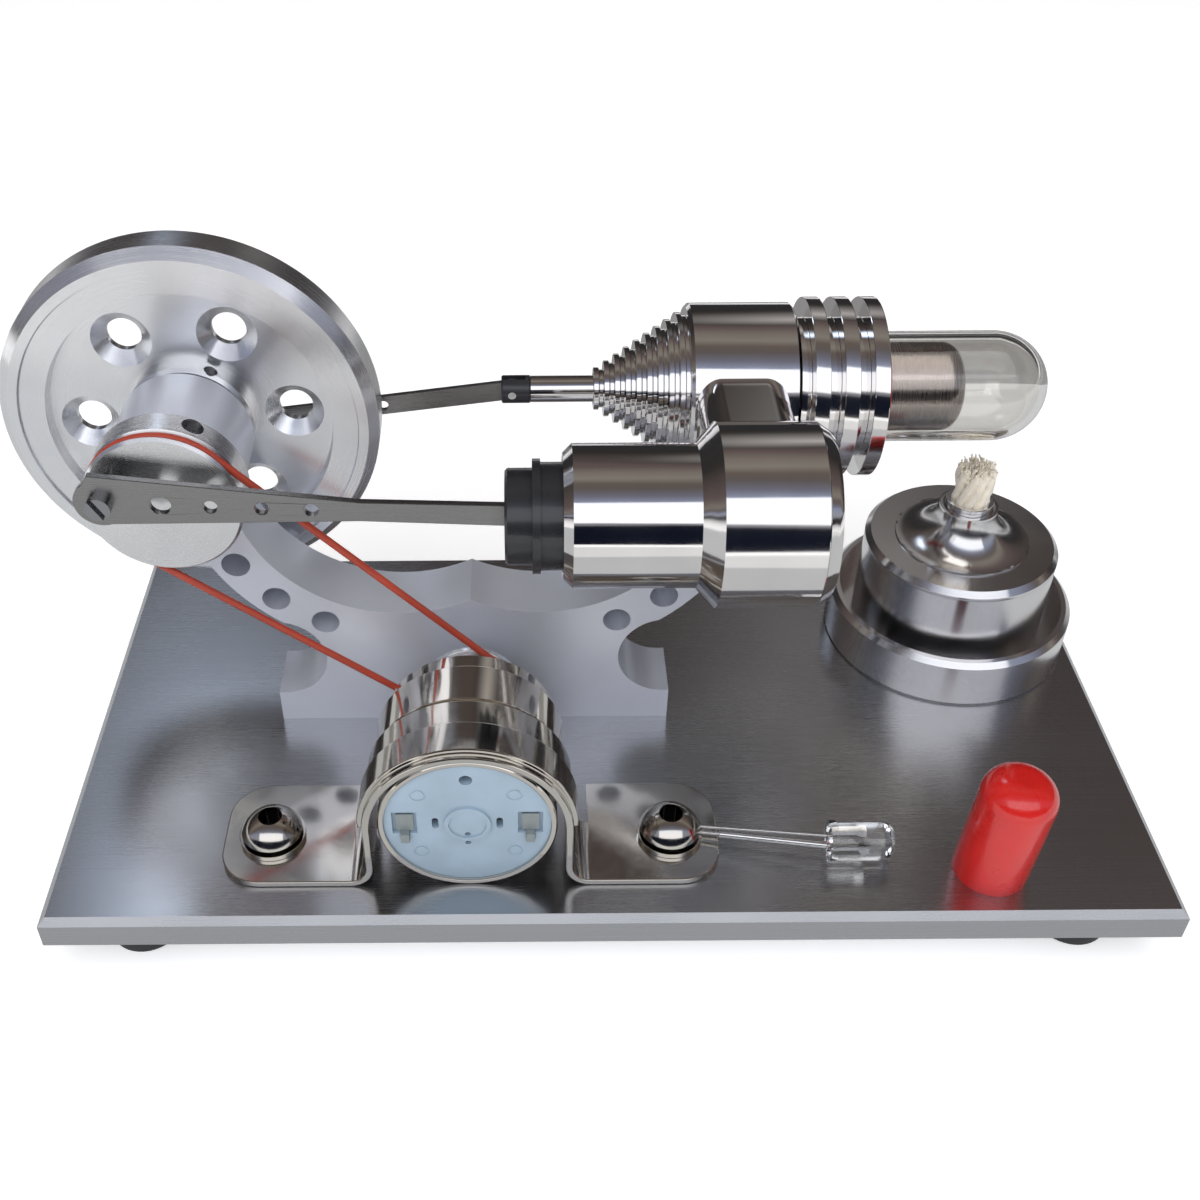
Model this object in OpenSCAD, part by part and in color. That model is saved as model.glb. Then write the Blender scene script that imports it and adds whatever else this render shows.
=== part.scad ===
// Twin-cylinder hot-air demonstration engine on a steel base plate, with flywheel, belt-driven
// generator, lamp and spirit burner. Millimetres, +Z up, X along the plate, Y from front to back.

/* [Base plate] */
// Length of the base plate
plate_l = 160; // [150:1:200]
// Depth of the base plate, front to back
plate_d = 82; // [80:1:110]
// Thickness of the base plate
plate_t = 5; // [4:0.5:10]
// Chamfer along the plate's top edge
plate_edge = 1; // [0.3:0.1:1.5]
// Height of a rubber foot
foot_h = 6.5; // [3:0.5:12]
// Diameter of a rubber foot at its top
foot_d = 12; // [10:0.5:16]
// Distance from the plate's ends to a foot's centre
foot_inset_x = 12; // [9:0.5:18]
// Distance from the plate's front and back edges to a foot's centre
foot_inset_y = 8.5; // [8:0.5:18]

/* [Frame] */
// Middle of the frame along the plate
frame_x = 59.9; // [55:0.1:64]
// Front face of the frame, from the plate's front edge
frame_y = 40; // [39.5:0.1:40.5]
// Thickness of the frame
frame_t = 10; // [8:0.5:10]
// Width of the frame's foot
frame_foot_w = 61.3; // [56:0.1:66]
// Height of the crank and cylinder axes above the plate
axis_h = 47.7; // [46:0.1:62]
// Radius of the inner edge of each arm
arm_r = 23; // [20:0.5:24]
// Width of each arm
arm_w = 7.5; // [6:0.5:10]
// Distance of each arm's centre of curvature from the frame's middle
arm_off = 10.5; // [8:0.5:12]
// How far the arms' centres of curvature lie below the axes
arm_drop = 2.8; // [1:0.1:5]
// Radius of the side notch above each foot
notch_r = 7.3; // [5:0.1:8]
// Height of the side notch's centre
notch_h = 13; // [12:0.1:15]
// Diameter of the lightening holes in the arms
arm_hole_d = 4.2; // [3:0.1:5]
// Diameter of the crank bearing boss
boss_d = 19; // [16:0.5:22]

/* [Crank] */
// Place of the crank axis along the plate
crank_x = 19.6; // [19:0.1:21]
// Throw of the power crank
power_throw = 7.7; // [5:0.1:8.2]
// Throw of the displacer crank
displacer_throw = 6.8; // [4:0.1:6.9]
// Angle of the power crank pin, from the plate's right towards up
power_angle = 158; // [150:1:200]
// Lead of the displacer crank over the power crank
crank_lead = 90; // [80:1:100]
// Diameter of the crank disc
disc_d = 21.5; // [21:0.1:23]
// Diameter of the crankshaft
shaft_d = 4; // [3:0.1:5]
// Diameter of the flywheel
fly_d = 54.8; // [48:0.1:60]
// Width of the flywheel's rim
fly_t = 7.6; // [6:0.1:8]
// Diameter of the flywheel's hub
fly_hub_d = 18.5; // [18:0.5:22]
// Number of holes in the flywheel's web
fly_holes = 6; // [4:1:8]

/* [Rods] */
// Length of the power rod between its pins
power_rod_l = 63.6; // [62:0.1:65]
// Length of the displacer rod between its pins
displacer_rod_l = 49.7; // [48.5:0.1:50]
// Thickness of the power rod
rod_t = 1; // [0.8:0.1:1.6]

/* [Cylinders] */
// Distance of the power cylinder's axis from the plate's front edge
power_y = 29; // [28.5:0.1:29]
// Distance of the displacer cylinder's axis from the plate's front edge
displacer_y = 61.5; // [61:0.1:63]
// Bore of the power cylinder
power_bore = 16; // [15:0.1:16.5]
// Outer diameter of the power cylinder's narrow part
power_d = 19.3; // [18.5:0.1:22]
// Outer diameter of the power cylinder's wide part
power_big_d = 24.7; // [23:0.1:24.7]
// Outer diameter of the displacer cylinder's body
body_d = 25.1; // [23:0.1:25.1]
// Diameter of the cooling fins
fin_d = 26.6; // [25.2:0.1:30]
// Number of steps on the cooling cone
cone_steps = 9; // [6:1:10]
// Outer diameter of the glass tube
glass_d = 16.4; // [15:0.1:17.5]
// Wall of the glass tube
glass_t = 1; // [0.8:0.1:1.2]
// Length of the glass tube that stands out of the fins
glass_l = 26.4; // [24:0.1:28]
// Diameter of the displacer
displacer_d = 13.2; // [12:0.1:13.3]
// Diameter of the displacer's shaft
displacer_shaft_d = 4; // [3:0.1:4.5]

/* [Generator] */
// Place of the generator's axis along the plate
motor_x = 60; // [56:0.5:64]
// Front face of the generator, from the plate's front edge
motor_y = 6.2; // [4:0.1:7]
// Diameter of the generator's can
motor_d = 24.6; // [22:0.1:26]
// Length of the generator's can
motor_l = 21.4; // [18:0.1:22]
// Diameter of the generator's pulley at its rims
pulley_d = 14; // [12:0.1:17]
// Diameter of the drive belt
belt_d = 1.05; // [1:0.05:1.5]
// Thickness of the strap over the generator
strap_t = 1; // [0.8:0.1:1.5]
// Distance between the strap's screws
strap_pitch = 57.7; // [54:0.1:62]

/* [Lamp] */
// Diameter of the lamp's lens
lamp_d = 5; // [4:0.1:6]
// Length of the lamp's leads from its flange to the strap's screw
lead_l = 22.4; // [20:0.1:24]

/* [Burner] */
// Place of the burner along the plate
burner_x = 139.4; // [137:0.1:139.9]
// Diameter of the burner's foot
burner_foot_d = 39.3; // [37:0.1:40]
// Height of the burner's foot
burner_foot_h = 8.5; // [6:0.5:10]
// Diameter of the burner's pot
pot_d = 30.7; // [26:0.1:33]
// Height of the pot's rim above the plate
pot_h = 19.5; // [16:0.5:20]
// Diameter of the wick
wick_d = 5.8; // [4:0.1:7]
// Height of the wick's top above the plate
wick_h = 33.7; // [31:0.1:36]
// Diameter of the snuffer cap
cap_d = 10.6; // [10:0.1:13]
// Height of the snuffer cap
cap_h = 18.6; // [16:0.1:24]

/* [Hidden] */
$fn = 72;

// Clearances
slide_gap = 0.05;    // radial play of a pin or shaft that turns or slides in its hole
piston_gap = 0.07;   // radial play of the piston in its bore
seat_gap = 0.02;     // radial play of a piece that is fixed in its seat
side_gap = 0.6;      // play beside a rod in its slot
open_gap = 0.1;      // gap at a crank pin where the linkage is open
belt_gap = 0.1;      // gap between the belt and a groove's root
eps = 0.01;          // how far a cutting shape runs past the face that it cuts

// Fasteners
m3_d = 3;
m3_head_d = 5.5;
m3_head_h = 1.8;
grub_d = 3;
grub_l = 5;
grub_key_d = 1.5;
fly_grub_d = 2;
fly_grub_key_d = 1;

// Crank axis, front to back
rod_head_t = 1.5;
rod_head_d = 3.4;
washer_stand = 1.6;
crank_stand = 2.3;
disc_y = power_y + rod_t / 2 + crank_stand;
disc_t = 6.7;
disc_back = disc_y + disc_t;
disc_groove_y = 1.45;
belt_y = disc_y + disc_groove_y;
groove_root = 0.45;
groove_half_w = 1;
groove_depth = 1.15;
boss_y = frame_y - 1.3;
boss_back = frame_y + frame_t + 0.5;
fly_y = boss_back + 1.4;
fly_back = fly_y + fly_t;
web_recess = 2.6;
web_t = 4.6;
hub_front = boss_back + 1.5;
hub_back = min(fly_back + 0.9, displacer_y - rod_t / 2 - 0.2);

// Crank bearings
race_d = 11;
race_t = 4;
race_inset = 0.4;
race_wall = 1;
ball_d = 1.4;
ball_count = 9;
race_ys = [boss_y + race_inset, boss_back - race_inset - race_t];

// Frame arms
arm_z = axis_h - arm_drop;
arm_hole_r = arm_r + arm_w / 2 + 0.45;
arm_hole_step = 17.5;
arm_hole_first = 65;
head_pad_t = 7;
block_w = 13.2;
block_h = 15;
block_corner = 3.5;
block_x = 99.3;
block_bottom = axis_h - block_h / 2;

// Crank pins and rods at rest
displacer_angle = power_angle + crank_lead;
power_pin = [crank_x + power_throw * cos(power_angle), axis_h + power_throw * sin(power_angle)];
displacer_pin = [
    crank_x + displacer_throw * cos(displacer_angle),
    axis_h + displacer_throw * sin(displacer_angle)
];
wrist_x = power_pin[0] + sqrt(pow(power_rod_l, 2) - pow(power_pin[1] - axis_h, 2));
fork_x = displacer_pin[0] + sqrt(pow(displacer_rod_l, 2) - pow(displacer_pin[1] - axis_h, 2));
power_tilt = asin((power_pin[1] - axis_h) / power_rod_l);
displacer_tilt = asin((displacer_pin[1] - axis_h) / displacer_rod_l);
crank_pin_d = 2;
wrist_d = 2.5;
fork_pin_d = 1.2;

// Power cylinder, measured along X
power_x = 73.1;
power_step_x = 90.6;
power_big_x = 93.1;
power_head_x = 106.2;
power_head_t = 1.8;
power_edge = 1.2;
port_x = 101.6;
port_d = 4;

// Power piston, measured along X from the wrist pin
piston_skirt_x = wrist_x - 10.5;
piston_crown_x = wrist_x + 8;
slot_w = rod_t + 2 * side_gap;
slot_half_h = 3.4;

// Displacer cylinder, measured along X
cone_x = 78.5;
body_x = 92;
body_back_x = 107.7;
neck_d = 20.9;
fin_x = 109.4;
fin_w = 2.2;
fin_pitch = 4.2;
fin_count = 3;
cylinder_back_x = fin_x + (fin_count - 1) * fin_pitch + fin_w;
cone_first_d = 6.4;
cone_last_d = 22.4;
bush_d = 6;
bush_inset = 3;
mouth_r = 2.45;
chamber_x = 97;
glass_bore_x = 112;
glass_r = glass_d / 2;
glass_centre_x = cylinder_back_x + glass_l - glass_r;
seal_d = 1.2;

// Displacer, measured along X
displacer_x = 104;
displacer_back_x = cylinder_back_x + 13.2;
displacer_round = 3;
shell_t = 0.6;
plug_l = 6;
fork_d = 4.2;
fork_front = 1.6;
fork_back = 2.8;

// Generator
motor_z = motor_d / 2 + 0.1;
can_t = 0.8;
motor_back = motor_y + motor_l;
flux_d = motor_d + 2.5;
flux_w = 6.6;
flux_gap = 80;       // how far the sleeve is open underneath, in degrees
motor_shaft_d = 2;
pulley_hub_d = 6;
strap_y = 6;
strap_arch_w = 11;
strap_flange_w = 18.6;
strap_flange_x = 7;
strap_bead = 0.7;
strap_bead_w = 5.2;
strap_gap = 1.2;
strap_r = motor_d / 2 + strap_gap;
strap_arch_z = motor_z + motor_d / 2 - strap_r;
strap_screw_y = strap_y + 8.6;
strap_bend = 2.5;
washer_d = 9.6;
washer_t = 0.8;
button_d = 8.8;
button_h = 3.2;
m5_d = 5;
hex_key_d = 3.5;

// Lamp
lamp_y = 11.3;
lamp_z = 2.95;
lamp_x = motor_x + strap_pitch / 2 + lead_l;
lamp_flange_t = 1;
lamp_flange_d = lamp_d + 0.8;
lamp_l = 9;
lead_d = 0.5;
lead_pitch = 2.54;
sleeve_d = 1.1;
lead_tilt = 16;
lead_gap = 0.07;
lead_z = strap_t + washer_t + lead_gap + lead_d / 2;

// Burner
burner_y = displacer_y;
pot_t = 1.2;
pot_seat = 5;
lid_t = 1.2;
flare_r = 6;
tube_d = wick_d + 1.6;
tube_top = pot_h + 7.5;
cap_x = 134.2;
cap_y = 8.6;
cap_lean = 4;
cap_t = 1.1;

// Reference point: the middle of the engine's outline, at the height that its feet stand on
origin_x = (min(0, crank_x - fly_d / 2) + plate_l) / 2;
origin_y = plate_d / 2;
origin_z = plate_t + foot_h;

function polar(r, a) = [r * cos(a), r * sin(a)];

module place() { translate([-origin_x, -origin_y, origin_z]) children(); }
// Local +Z points back along Y, and the local XY plane holds X and -Z
module along_y(x, y, z) { translate([x, y, z]) rotate([-90, 0, 0]) children(); }
// Local +Z points right along X
module along_x(x, y, z) { translate([x, y, z]) rotate([0, 90, 0]) children(); }
// A flat outline in X and Z, extruded back along Y
module plate_xz(y, t) { translate([0, y + t, 0]) rotate([90, 0, 0]) linear_extrude(t) children(); }
module turned(profile) { rotate_extrude() polygon(profile); }
module ring(outer_d, inner_d, t) {
    difference() {
        cylinder(d = outer_d, h = t);
        translate([0, 0, -eps]) cylinder(d = inner_d, h = t + 2 * eps);
    }
}
module foot_places() {
    for (x = [foot_inset_x, plate_l - foot_inset_x], y = [foot_inset_y, plate_d - foot_inset_y])
        translate([x, y, 0]) children();
}
module strap_screw_places() {
    for (side = [-1, 1])
        translate([motor_x + side * strap_pitch / 2, strap_screw_y, 0]) children();
}
module frame_screw_places() {
    for (side = [-1, 1])
        translate([frame_x + side * frame_foot_w / 4, frame_y + frame_t / 2, 0]) children();
}
module block_screw_places() {
    for (side = [-1, 1])
        translate([block_x + side * block_w / 4, frame_y + frame_t / 2, 0]) children();
}
// A chamfer cut along an edge that runs from the origin along +X
module edge_cut(l) {
    rotate([90, 0, 90]) translate([0, 0, -eps]) linear_extrude(l + 2 * eps)
        polygon([[-plate_edge, 0], [plate_edge, -2 * plate_edge], [plate_edge, eps],
                 [-plate_edge, eps]]);
}

module base_plate() {
    color("silver") place() difference() {
        translate([0, 0, -plate_t]) cube([plate_l, plate_d, plate_t]);
        translate([0, plate_d, 0]) edge_cut(plate_l);
        translate([plate_l, 0, 0]) rotate(180) edge_cut(plate_l);
        rotate(90) edge_cut(plate_d);
        translate([plate_l, plate_d, 0]) rotate(-90) edge_cut(plate_d);
        foot_places() translate([0, 0, -plate_t - eps])
            cylinder(d = m3_d + 2 * seat_gap, h = plate_t - 1 + eps);
        strap_screw_places() translate([0, 0, -plate_t - eps])
            cylinder(d = m5_d + 2 * seat_gap, h = plate_t + 2 * eps);
        frame_screw_places() translate([0, 0, -plate_t - eps]) {
            cylinder(d = m3_d + 2 * seat_gap, h = plate_t + 2 * eps);
            cylinder(d = m3_head_d + 0.5, h = m3_head_h + 0.4 + eps);
        }
    }
}
module rubber_feet() {
    color("black") place() foot_places() translate([0, 0, -origin_z]) turned([
        [m3_head_d / 2 + 0.3, 0], [foot_d / 2 - 1.2, 0], [foot_d / 2 - 0.8, 0.4],
        [foot_d / 2, foot_h], [m3_d / 2 + seat_gap, foot_h],
        [m3_d / 2 + seat_gap, foot_h - 1], [m3_head_d / 2 + 0.3, foot_h - 1]
    ]);
}
module foot_screws() {
    color("dimgray") place() foot_places() translate([0, 0, -origin_z + foot_h - 1]) difference() {
        union() {
            translate([0, 0, -m3_head_h]) cylinder(d = m3_head_d, h = m3_head_h);
            cylinder(d = m3_d, h = plate_t - 0.5);
        }
        translate([0, 0, -m3_head_h - eps]) cylinder(d = 2, h = 1, $fn = 6);
    }
}

module arm_ring(side) {
    translate([frame_x + side * arm_off, arm_z]) difference() {
        circle(r = arm_r + arm_w, $fn = 120);
        circle(r = arm_r, $fn = 120);
        translate([-2 * arm_r, side < 0 ? 0 : block_bottom - arm_z])
            square([4 * arm_r, 3 * arm_r]);
        translate([side < 0 ? 0 : -2 * arm_r, -2 * arm_r]) square([2 * arm_r, 4 * arm_r]);
    }
}
module frame_outline() {
    foot_half = frame_foot_w / 2;
    notch_in = foot_half - notch_r + 0.9;
    difference() {
        union() {
            translate([frame_x - foot_half, 0]) square([frame_foot_w, notch_h]);
            translate([frame_x - notch_in, 0]) square([2 * notch_in, arm_z - arm_r + 4]);
            for (side = [-1, 1]) arm_ring(side);
            translate([crank_x, axis_h]) circle(d = boss_d, $fn = 96);
            polygon([
                [frame_x + arm_off + arm_r, block_bottom - head_pad_t],
                [block_x + block_w / 2 - 4, block_bottom - head_pad_t],
                [block_x + block_w / 2, block_bottom - head_pad_t + 3.5],
                [block_x + block_w / 2, block_bottom],
                [block_x - block_w / 2, block_bottom]
            ]);
        }
        for (side = [-1, 1]) {
            translate([frame_x + side * arm_off, arm_z]) circle(r = arm_r, $fn = 120);
            translate([frame_x + side * (foot_half - 0.9), notch_h]) circle(r = notch_r, $fn = 96);
            for (k = [0:2])
                translate([frame_x + side * arm_off, arm_z])
                    translate(polar(arm_hole_r,
                                    -90 + side * (90 - arm_hole_first + k * arm_hole_step)))
                        circle(d = arm_hole_d, $fn = 48);
        }
    }
}
module engine_frame() {
    color("lightsteelblue") place() difference() {
        union() {
            plate_xz(frame_y, frame_t) frame_outline();
            along_y(crank_x, boss_y, axis_h) cylinder(d = boss_d, h = boss_back - boss_y, $fn = 96);
        }
        along_y(crank_x, boss_y - eps, axis_h)
            cylinder(d = race_d - 1.6, h = boss_back - boss_y + 2 * eps);
        for (y = [boss_y - eps, race_ys[1] - seat_gap])
            along_y(crank_x, y, axis_h)
                cylinder(d = race_d + 2 * seat_gap, h = race_t + race_inset + seat_gap + eps);
        frame_screw_places() translate([0, 0, -eps]) cylinder(d = m3_d + 2 * seat_gap, h = 10);
        block_screw_places() translate([0, 0, block_bottom - head_pad_t - 3]) {
            cylinder(d = m3_d + 2 * seat_gap, h = head_pad_t + 4);
            cylinder(d = m3_head_d + 0.5, h = 3 + m3_head_h + 0.4);
        }
    }
}
module screw_up(l) {
    difference() {
        union() {
            cylinder(d = m3_head_d, h = m3_head_h);
            cylinder(d = m3_d, h = l);
        }
        translate([0, 0, -eps]) cylinder(d = 2.3, h = 1, $fn = 6);
    }
}
module frame_screws() {
    color("gray") place() frame_screw_places()
        translate([0, 0, -plate_t + 0.4]) screw_up(plate_t + 8);
}
module block_screws() {
    color("gray") place() block_screw_places()
        translate([0, 0, block_bottom - head_pad_t + 0.4]) screw_up(head_pad_t + 4);
}

module bearing_outer_rings() {
    color("silver") place() for (y = race_ys)
        along_y(crank_x, y, axis_h) ring(race_d, race_d - 2 * race_wall, race_t);
}
module bearing_inner_rings() {
    color("silver") place() for (y = race_ys)
        along_y(crank_x, y, axis_h)
            ring(shaft_d + 2 * race_wall, shaft_d + 2 * seat_gap, race_t);
}
module bearing_balls() {
    orbit = (race_d + shaft_d) / 4;
    color("whitesmoke") place() for (y = race_ys, k = [0:ball_count - 1])
        along_y(crank_x, y + race_t / 2, axis_h)
            translate(concat(polar(orbit, k * 360 / ball_count), 0)) sphere(d = ball_d, $fn = 24);
}
module shaft_spacers() {
    color("silver") place() {
        along_y(crank_x, disc_back, axis_h)
            ring(shaft_d + 2 * race_wall, shaft_d + 2 * seat_gap, race_ys[0] - disc_back);
        along_y(crank_x, race_ys[1] + race_t, axis_h)
            ring(shaft_d + 2 * race_wall, shaft_d + 2 * seat_gap,
                 hub_front - race_ys[1] - race_t);
    }
}
module crankshaft() {
    color("silver") place() along_y(crank_x, disc_y + 1.2, axis_h)
        cylinder(d = shaft_d, h = hub_back - disc_y - 2.4);
}

// A wheel's outline with a belt groove, for turning about its local Z axis
module groove_cut(wheel_d, groove_z) {
    turned([
        [wheel_d / 2 - groove_depth, groove_z - groove_root],
        [wheel_d / 2 + eps, groove_z - groove_half_w], [wheel_d / 2 + 1, groove_z - groove_half_w],
        [wheel_d / 2 + 1, groove_z + groove_half_w], [wheel_d / 2 + eps, groove_z + groove_half_w],
        [wheel_d / 2 - groove_depth, groove_z + groove_root]
    ]);
}
// A radial hole or screw in a wheel on the crank axis, at an angle in X and Z
module radial(y, angle, from_r) {
    translate([crank_x, y, axis_h]) rotate([0, 90 - angle, 0]) translate([0, 0, from_r]) children();
}
grub_angle = 64;
disc_grub_y = disc_back - 2;
fly_grub_y = (hub_front + fly_y + web_recess) / 2;

module grub_hole(outer_r, d) {
    translate([0, 0, -eps]) cylinder(d = d + 2 * seat_gap, h = outer_r, $fn = 32);
}
module grub_screw(d, key_d) {
    difference() {
        cylinder(d = d, h = grub_l, $fn = 32);
        translate([0, 0, grub_l - 2]) cylinder(d = key_d, h = 2 + eps, $fn = 6);
    }
}
module crank_disc() {
    color("gainsboro") place() difference() {
        along_y(crank_x, disc_y, axis_h) difference() {
            turned([
                [0, 0], [disc_d / 2 - 0.4, 0], [disc_d / 2, 0.4], [disc_d / 2, disc_t - 0.4],
                [disc_d / 2 - 0.4, disc_t], [0, disc_t]
            ]);
            groove_cut(disc_d, disc_groove_y);
            translate([0, 0, 1.2]) cylinder(d = shaft_d + 2 * seat_gap, h = disc_t);
        }
        radial(disc_grub_y, grub_angle, shaft_d / 2) grub_hole(disc_d, grub_d);
        translate([power_pin[0], disc_y, power_pin[1]]) rotate([-90, 0, 0])
            translate([0, 0, -eps]) cylinder(d = crank_pin_d, h = 1.2, $fn = 32);
    }
}
module crank_grub_screw() {
    color("dimgray") place() radial(disc_grub_y, grub_angle, shaft_d / 2 + seat_gap)
        grub_screw(grub_d, grub_key_d);
}
module flywheel() {
    rim_r = fly_d / 2;
    recess_r = rim_r - 7;
    web_z = web_recess;
    color("white") place() difference() {
        along_y(crank_x, fly_y, axis_h) difference() {
            turned([
                [0, hub_front - fly_y], [fly_hub_d / 2 - 0.5, hub_front - fly_y],
                [fly_hub_d / 2, hub_front - fly_y + 0.5], [fly_hub_d / 2, web_z],
                [recess_r, web_z], [recess_r + 0.3, 0.5], [rim_r - 3.1, 0.5], [rim_r - 2.9, 0],
                [rim_r - 1.5, 0], [rim_r, 1.5], [rim_r, fly_t - 1.5], [rim_r - 1.5, fly_t],
                [recess_r, fly_t], [recess_r, web_z + web_t], [fly_hub_d / 2, web_z + web_t],
                [fly_hub_d / 2, hub_back - fly_y], [0, hub_back - fly_y]
            ]);
            translate([0, 0, -2]) cylinder(d = shaft_d + 2 * seat_gap, h = hub_back - fly_y - 1.2 + 2);
            for (k = [0:fly_holes - 1])
                translate(concat(polar((fly_hub_d / 2 + recess_r) / 2 + 0.2,
                                       -3 - k * 360 / fly_holes), 0)) {
                    translate([0, 0, web_z - 1]) cylinder(d = 5, h = web_t + 2);
                    translate([0, 0, web_z - eps]) cylinder(d1 = 8.6, d2 = 5, h = 1.8);
                    translate([0, 0, web_z + web_t - 1.8 + eps]) cylinder(d1 = 5, d2 = 8.6, h = 1.8);
                }
        }
        radial(fly_grub_y, grub_angle, shaft_d / 2) grub_hole(fly_hub_d, fly_grub_d);
        along_y(displacer_pin[0], hub_back - 1.2, displacer_pin[1])
            cylinder(d = crank_pin_d, h = 1.3, $fn = 32);
    }
}
module flywheel_grub_screw() {
    color("dimgray") place() radial(fly_grub_y, grub_angle, shaft_d / 2 + seat_gap)
        grub_screw(fly_grub_d, fly_grub_key_d);
}

// A disc or a hole of a rod, centred on the rod's plane
module rod_round(y, t, x, d) {
    translate([x, y - t / 2, 0]) rotate([-90, 0, 0]) cylinder(d = d, h = t, $fn = 48);
}
// Each rod lies flat from its small end at the origin to its crank end at -length along X
module power_rod() {
    l = power_rod_l;
    waist = l - 34;
    color("silver") place() translate([wrist_x, 0, axis_h]) rotate([0, power_tilt, 0])
        difference() {
            union() {
                rod_round(power_y, rod_t, 0, 5);
                rod_round(power_y, rod_t, -l, 7);
                plate_xz(power_y - rod_t / 2, rod_t) polygon([
                    [-l - 1.2, 4.3], [-waist, 1.4], [0, 1.7], [0, -1.7], [-waist, -1.6],
                    [0.8 - l, -3.3], [-l - 2.6, 1.6]
                ]);
            }
            rod_round(power_y, 3 * rod_t, 0, wrist_d + 2 * slide_gap);
            rod_round(power_y, 3 * rod_t, -l, crank_pin_d + 2 * seat_gap);
            rod_round(power_y, 3 * rod_t, 7.9 - l, 2.8);
            for (d = [14.4, 21.1, 27.6]) rod_round(power_y, 3 * rod_t, d - l, 1.9);
        }
}
module slotted_screw(head_d, head_t, l) {
    difference() {
        union() {
            cylinder(d = head_d, h = head_t, $fn = 40);
            cylinder(d = crank_pin_d, h = head_t + l, $fn = 32);
        }
        translate([-head_d, -0.35, -eps]) cube([2 * head_d, 0.7, head_t / 2]);
    }
}
module crank_screw() {
    front = power_y - rod_t / 2 - rod_head_t;
    color("dimgray") place() translate([power_pin[0], front, power_pin[1]]) rotate([-90, 60, 0])
        slotted_screw(rod_head_d, rod_head_t, disc_y - open_gap - front - rod_head_t);
}
module crank_washer() {
    color("silver") place() along_y(power_pin[0], power_y + rod_t / 2, power_pin[1])
        ring(4.4, crank_pin_d + 2 * seat_gap, washer_stand);
}
module power_piston() {
    color("#1c1d20") place() difference() {
        along_x(0, power_y, axis_h) turned([
            [0, piston_skirt_x], [6.1, piston_skirt_x], [6.45, piston_skirt_x + 0.35],
            [6.45, piston_skirt_x + 3.6], [7.65, piston_skirt_x + 3.6],
            [7.65, piston_skirt_x + 4.7], [7.2, piston_skirt_x + 4.7],
            [7.2, piston_skirt_x + 7.9], [power_bore / 2 - piston_gap, piston_skirt_x + 7.9],
            [power_bore / 2 - piston_gap, piston_crown_x], [0, piston_crown_x]
        ]);
        translate([piston_skirt_x - 1, power_y - slot_w / 2, axis_h - slot_half_h])
            cube([wrist_x - piston_skirt_x + 4.2, slot_w, 2 * slot_half_h]);
        along_y(wrist_x, power_y - power_bore / 2, axis_h)
            cylinder(d = wrist_d + 2 * seat_gap, h = power_bore, $fn = 48);
    }
}
module wrist_pin() {
    half = power_bore / 2 - 0.8;
    color("silver") place() along_y(wrist_x, power_y - half, axis_h)
        cylinder(d = wrist_d, h = 2 * half, $fn = 48);
}
module power_cylinder() {
    small_r = power_d / 2;
    big_r = power_big_d / 2;
    color("silver") place() difference() {
        along_x(0, power_y, axis_h) turned([
            [power_bore / 2, power_x], [small_r - power_edge, power_x],
            [small_r, power_x + power_edge], [small_r, power_step_x], [big_r, power_big_x],
            [big_r, power_head_x], [power_bore / 2, power_head_x]
        ]);
        along_y(port_x, power_y, axis_h) cylinder(d = port_d, h = power_big_d, $fn = 32);
    }
}
module power_cylinder_head() {
    big_r = power_big_d / 2;
    color("silver") place() along_x(0, power_y, axis_h) turned([
        [0, power_head_x - 2], [power_bore / 2 - seat_gap, power_head_x - 2],
        [power_bore / 2 - seat_gap, power_head_x], [big_r, power_head_x],
        [big_r - power_edge, power_head_x + power_head_t], [0, power_head_x + power_head_t]
    ]);
}
module connecting_block() {
    front = power_y + power_d / 2;
    color("#4b4a4c") place() difference() {
        plate_xz(front, displacer_y - 8 - front) translate([block_x, axis_h])
            intersection() {
                square([block_w, block_h], center = true);
                union() {
                    square([block_w - 2 * block_corner, block_h], center = true);
                    square([block_w, block_h - 2 * block_corner], center = true);
                    for (sx = [-1, 1], sz = [-1, 1])
                        translate([sx * (block_w / 2 - block_corner),
                                   sz * (block_h / 2 - block_corner)])
                            circle(r = block_corner, $fn = 48);
                }
            }
        along_x(block_x - block_w, power_y, axis_h)
            cylinder(d = power_big_d + 2 * seat_gap, h = 2 * block_w, $fn = 96);
        along_x(block_x - block_w, displacer_y, axis_h)
            cylinder(d = body_d + 2 * seat_gap, h = 2 * block_w, $fn = 96);
        along_y(port_x, front - 1, axis_h) cylinder(d = port_d, h = 40, $fn = 32);
        block_screw_places() translate([0, 0, block_bottom - eps])
            cylinder(d = m3_d + 2 * seat_gap, h = 5, $fn = 32);
    }
}

// Steps of the cooling cone: each is a ring, then a narrow groove that is one step smaller
cone_pitch = (body_x - cone_x) / cone_steps;
function cone_d(k) = cone_first_d + (cone_last_d - cone_first_d) * k / (cone_steps - 1);
function cone_profile() = [
    for (k = [0:cone_steps - 1], edge = [0:3])
        let (x = cone_x + k * cone_pitch, r = cone_d(k) / 2)
            edge == 0 ? [r, x]
            : edge == 1 ? [r, x + 0.55 * cone_pitch]
            : edge == 2 ? [r - 0.35, x + 0.55 * cone_pitch]
            : [r - 0.35, x + cone_pitch]
];
function fin_profile() = [
    for (k = [0:fin_count - 1], edge = [0:3])
        let (x = fin_x + k * fin_pitch)
            edge == 0 ? [neck_d / 2, x]
            : edge == 1 ? [fin_d / 2, x]
            : edge == 2 ? [fin_d / 2, x + fin_w]
            : [neck_d / 2, x + fin_w]
];
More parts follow.
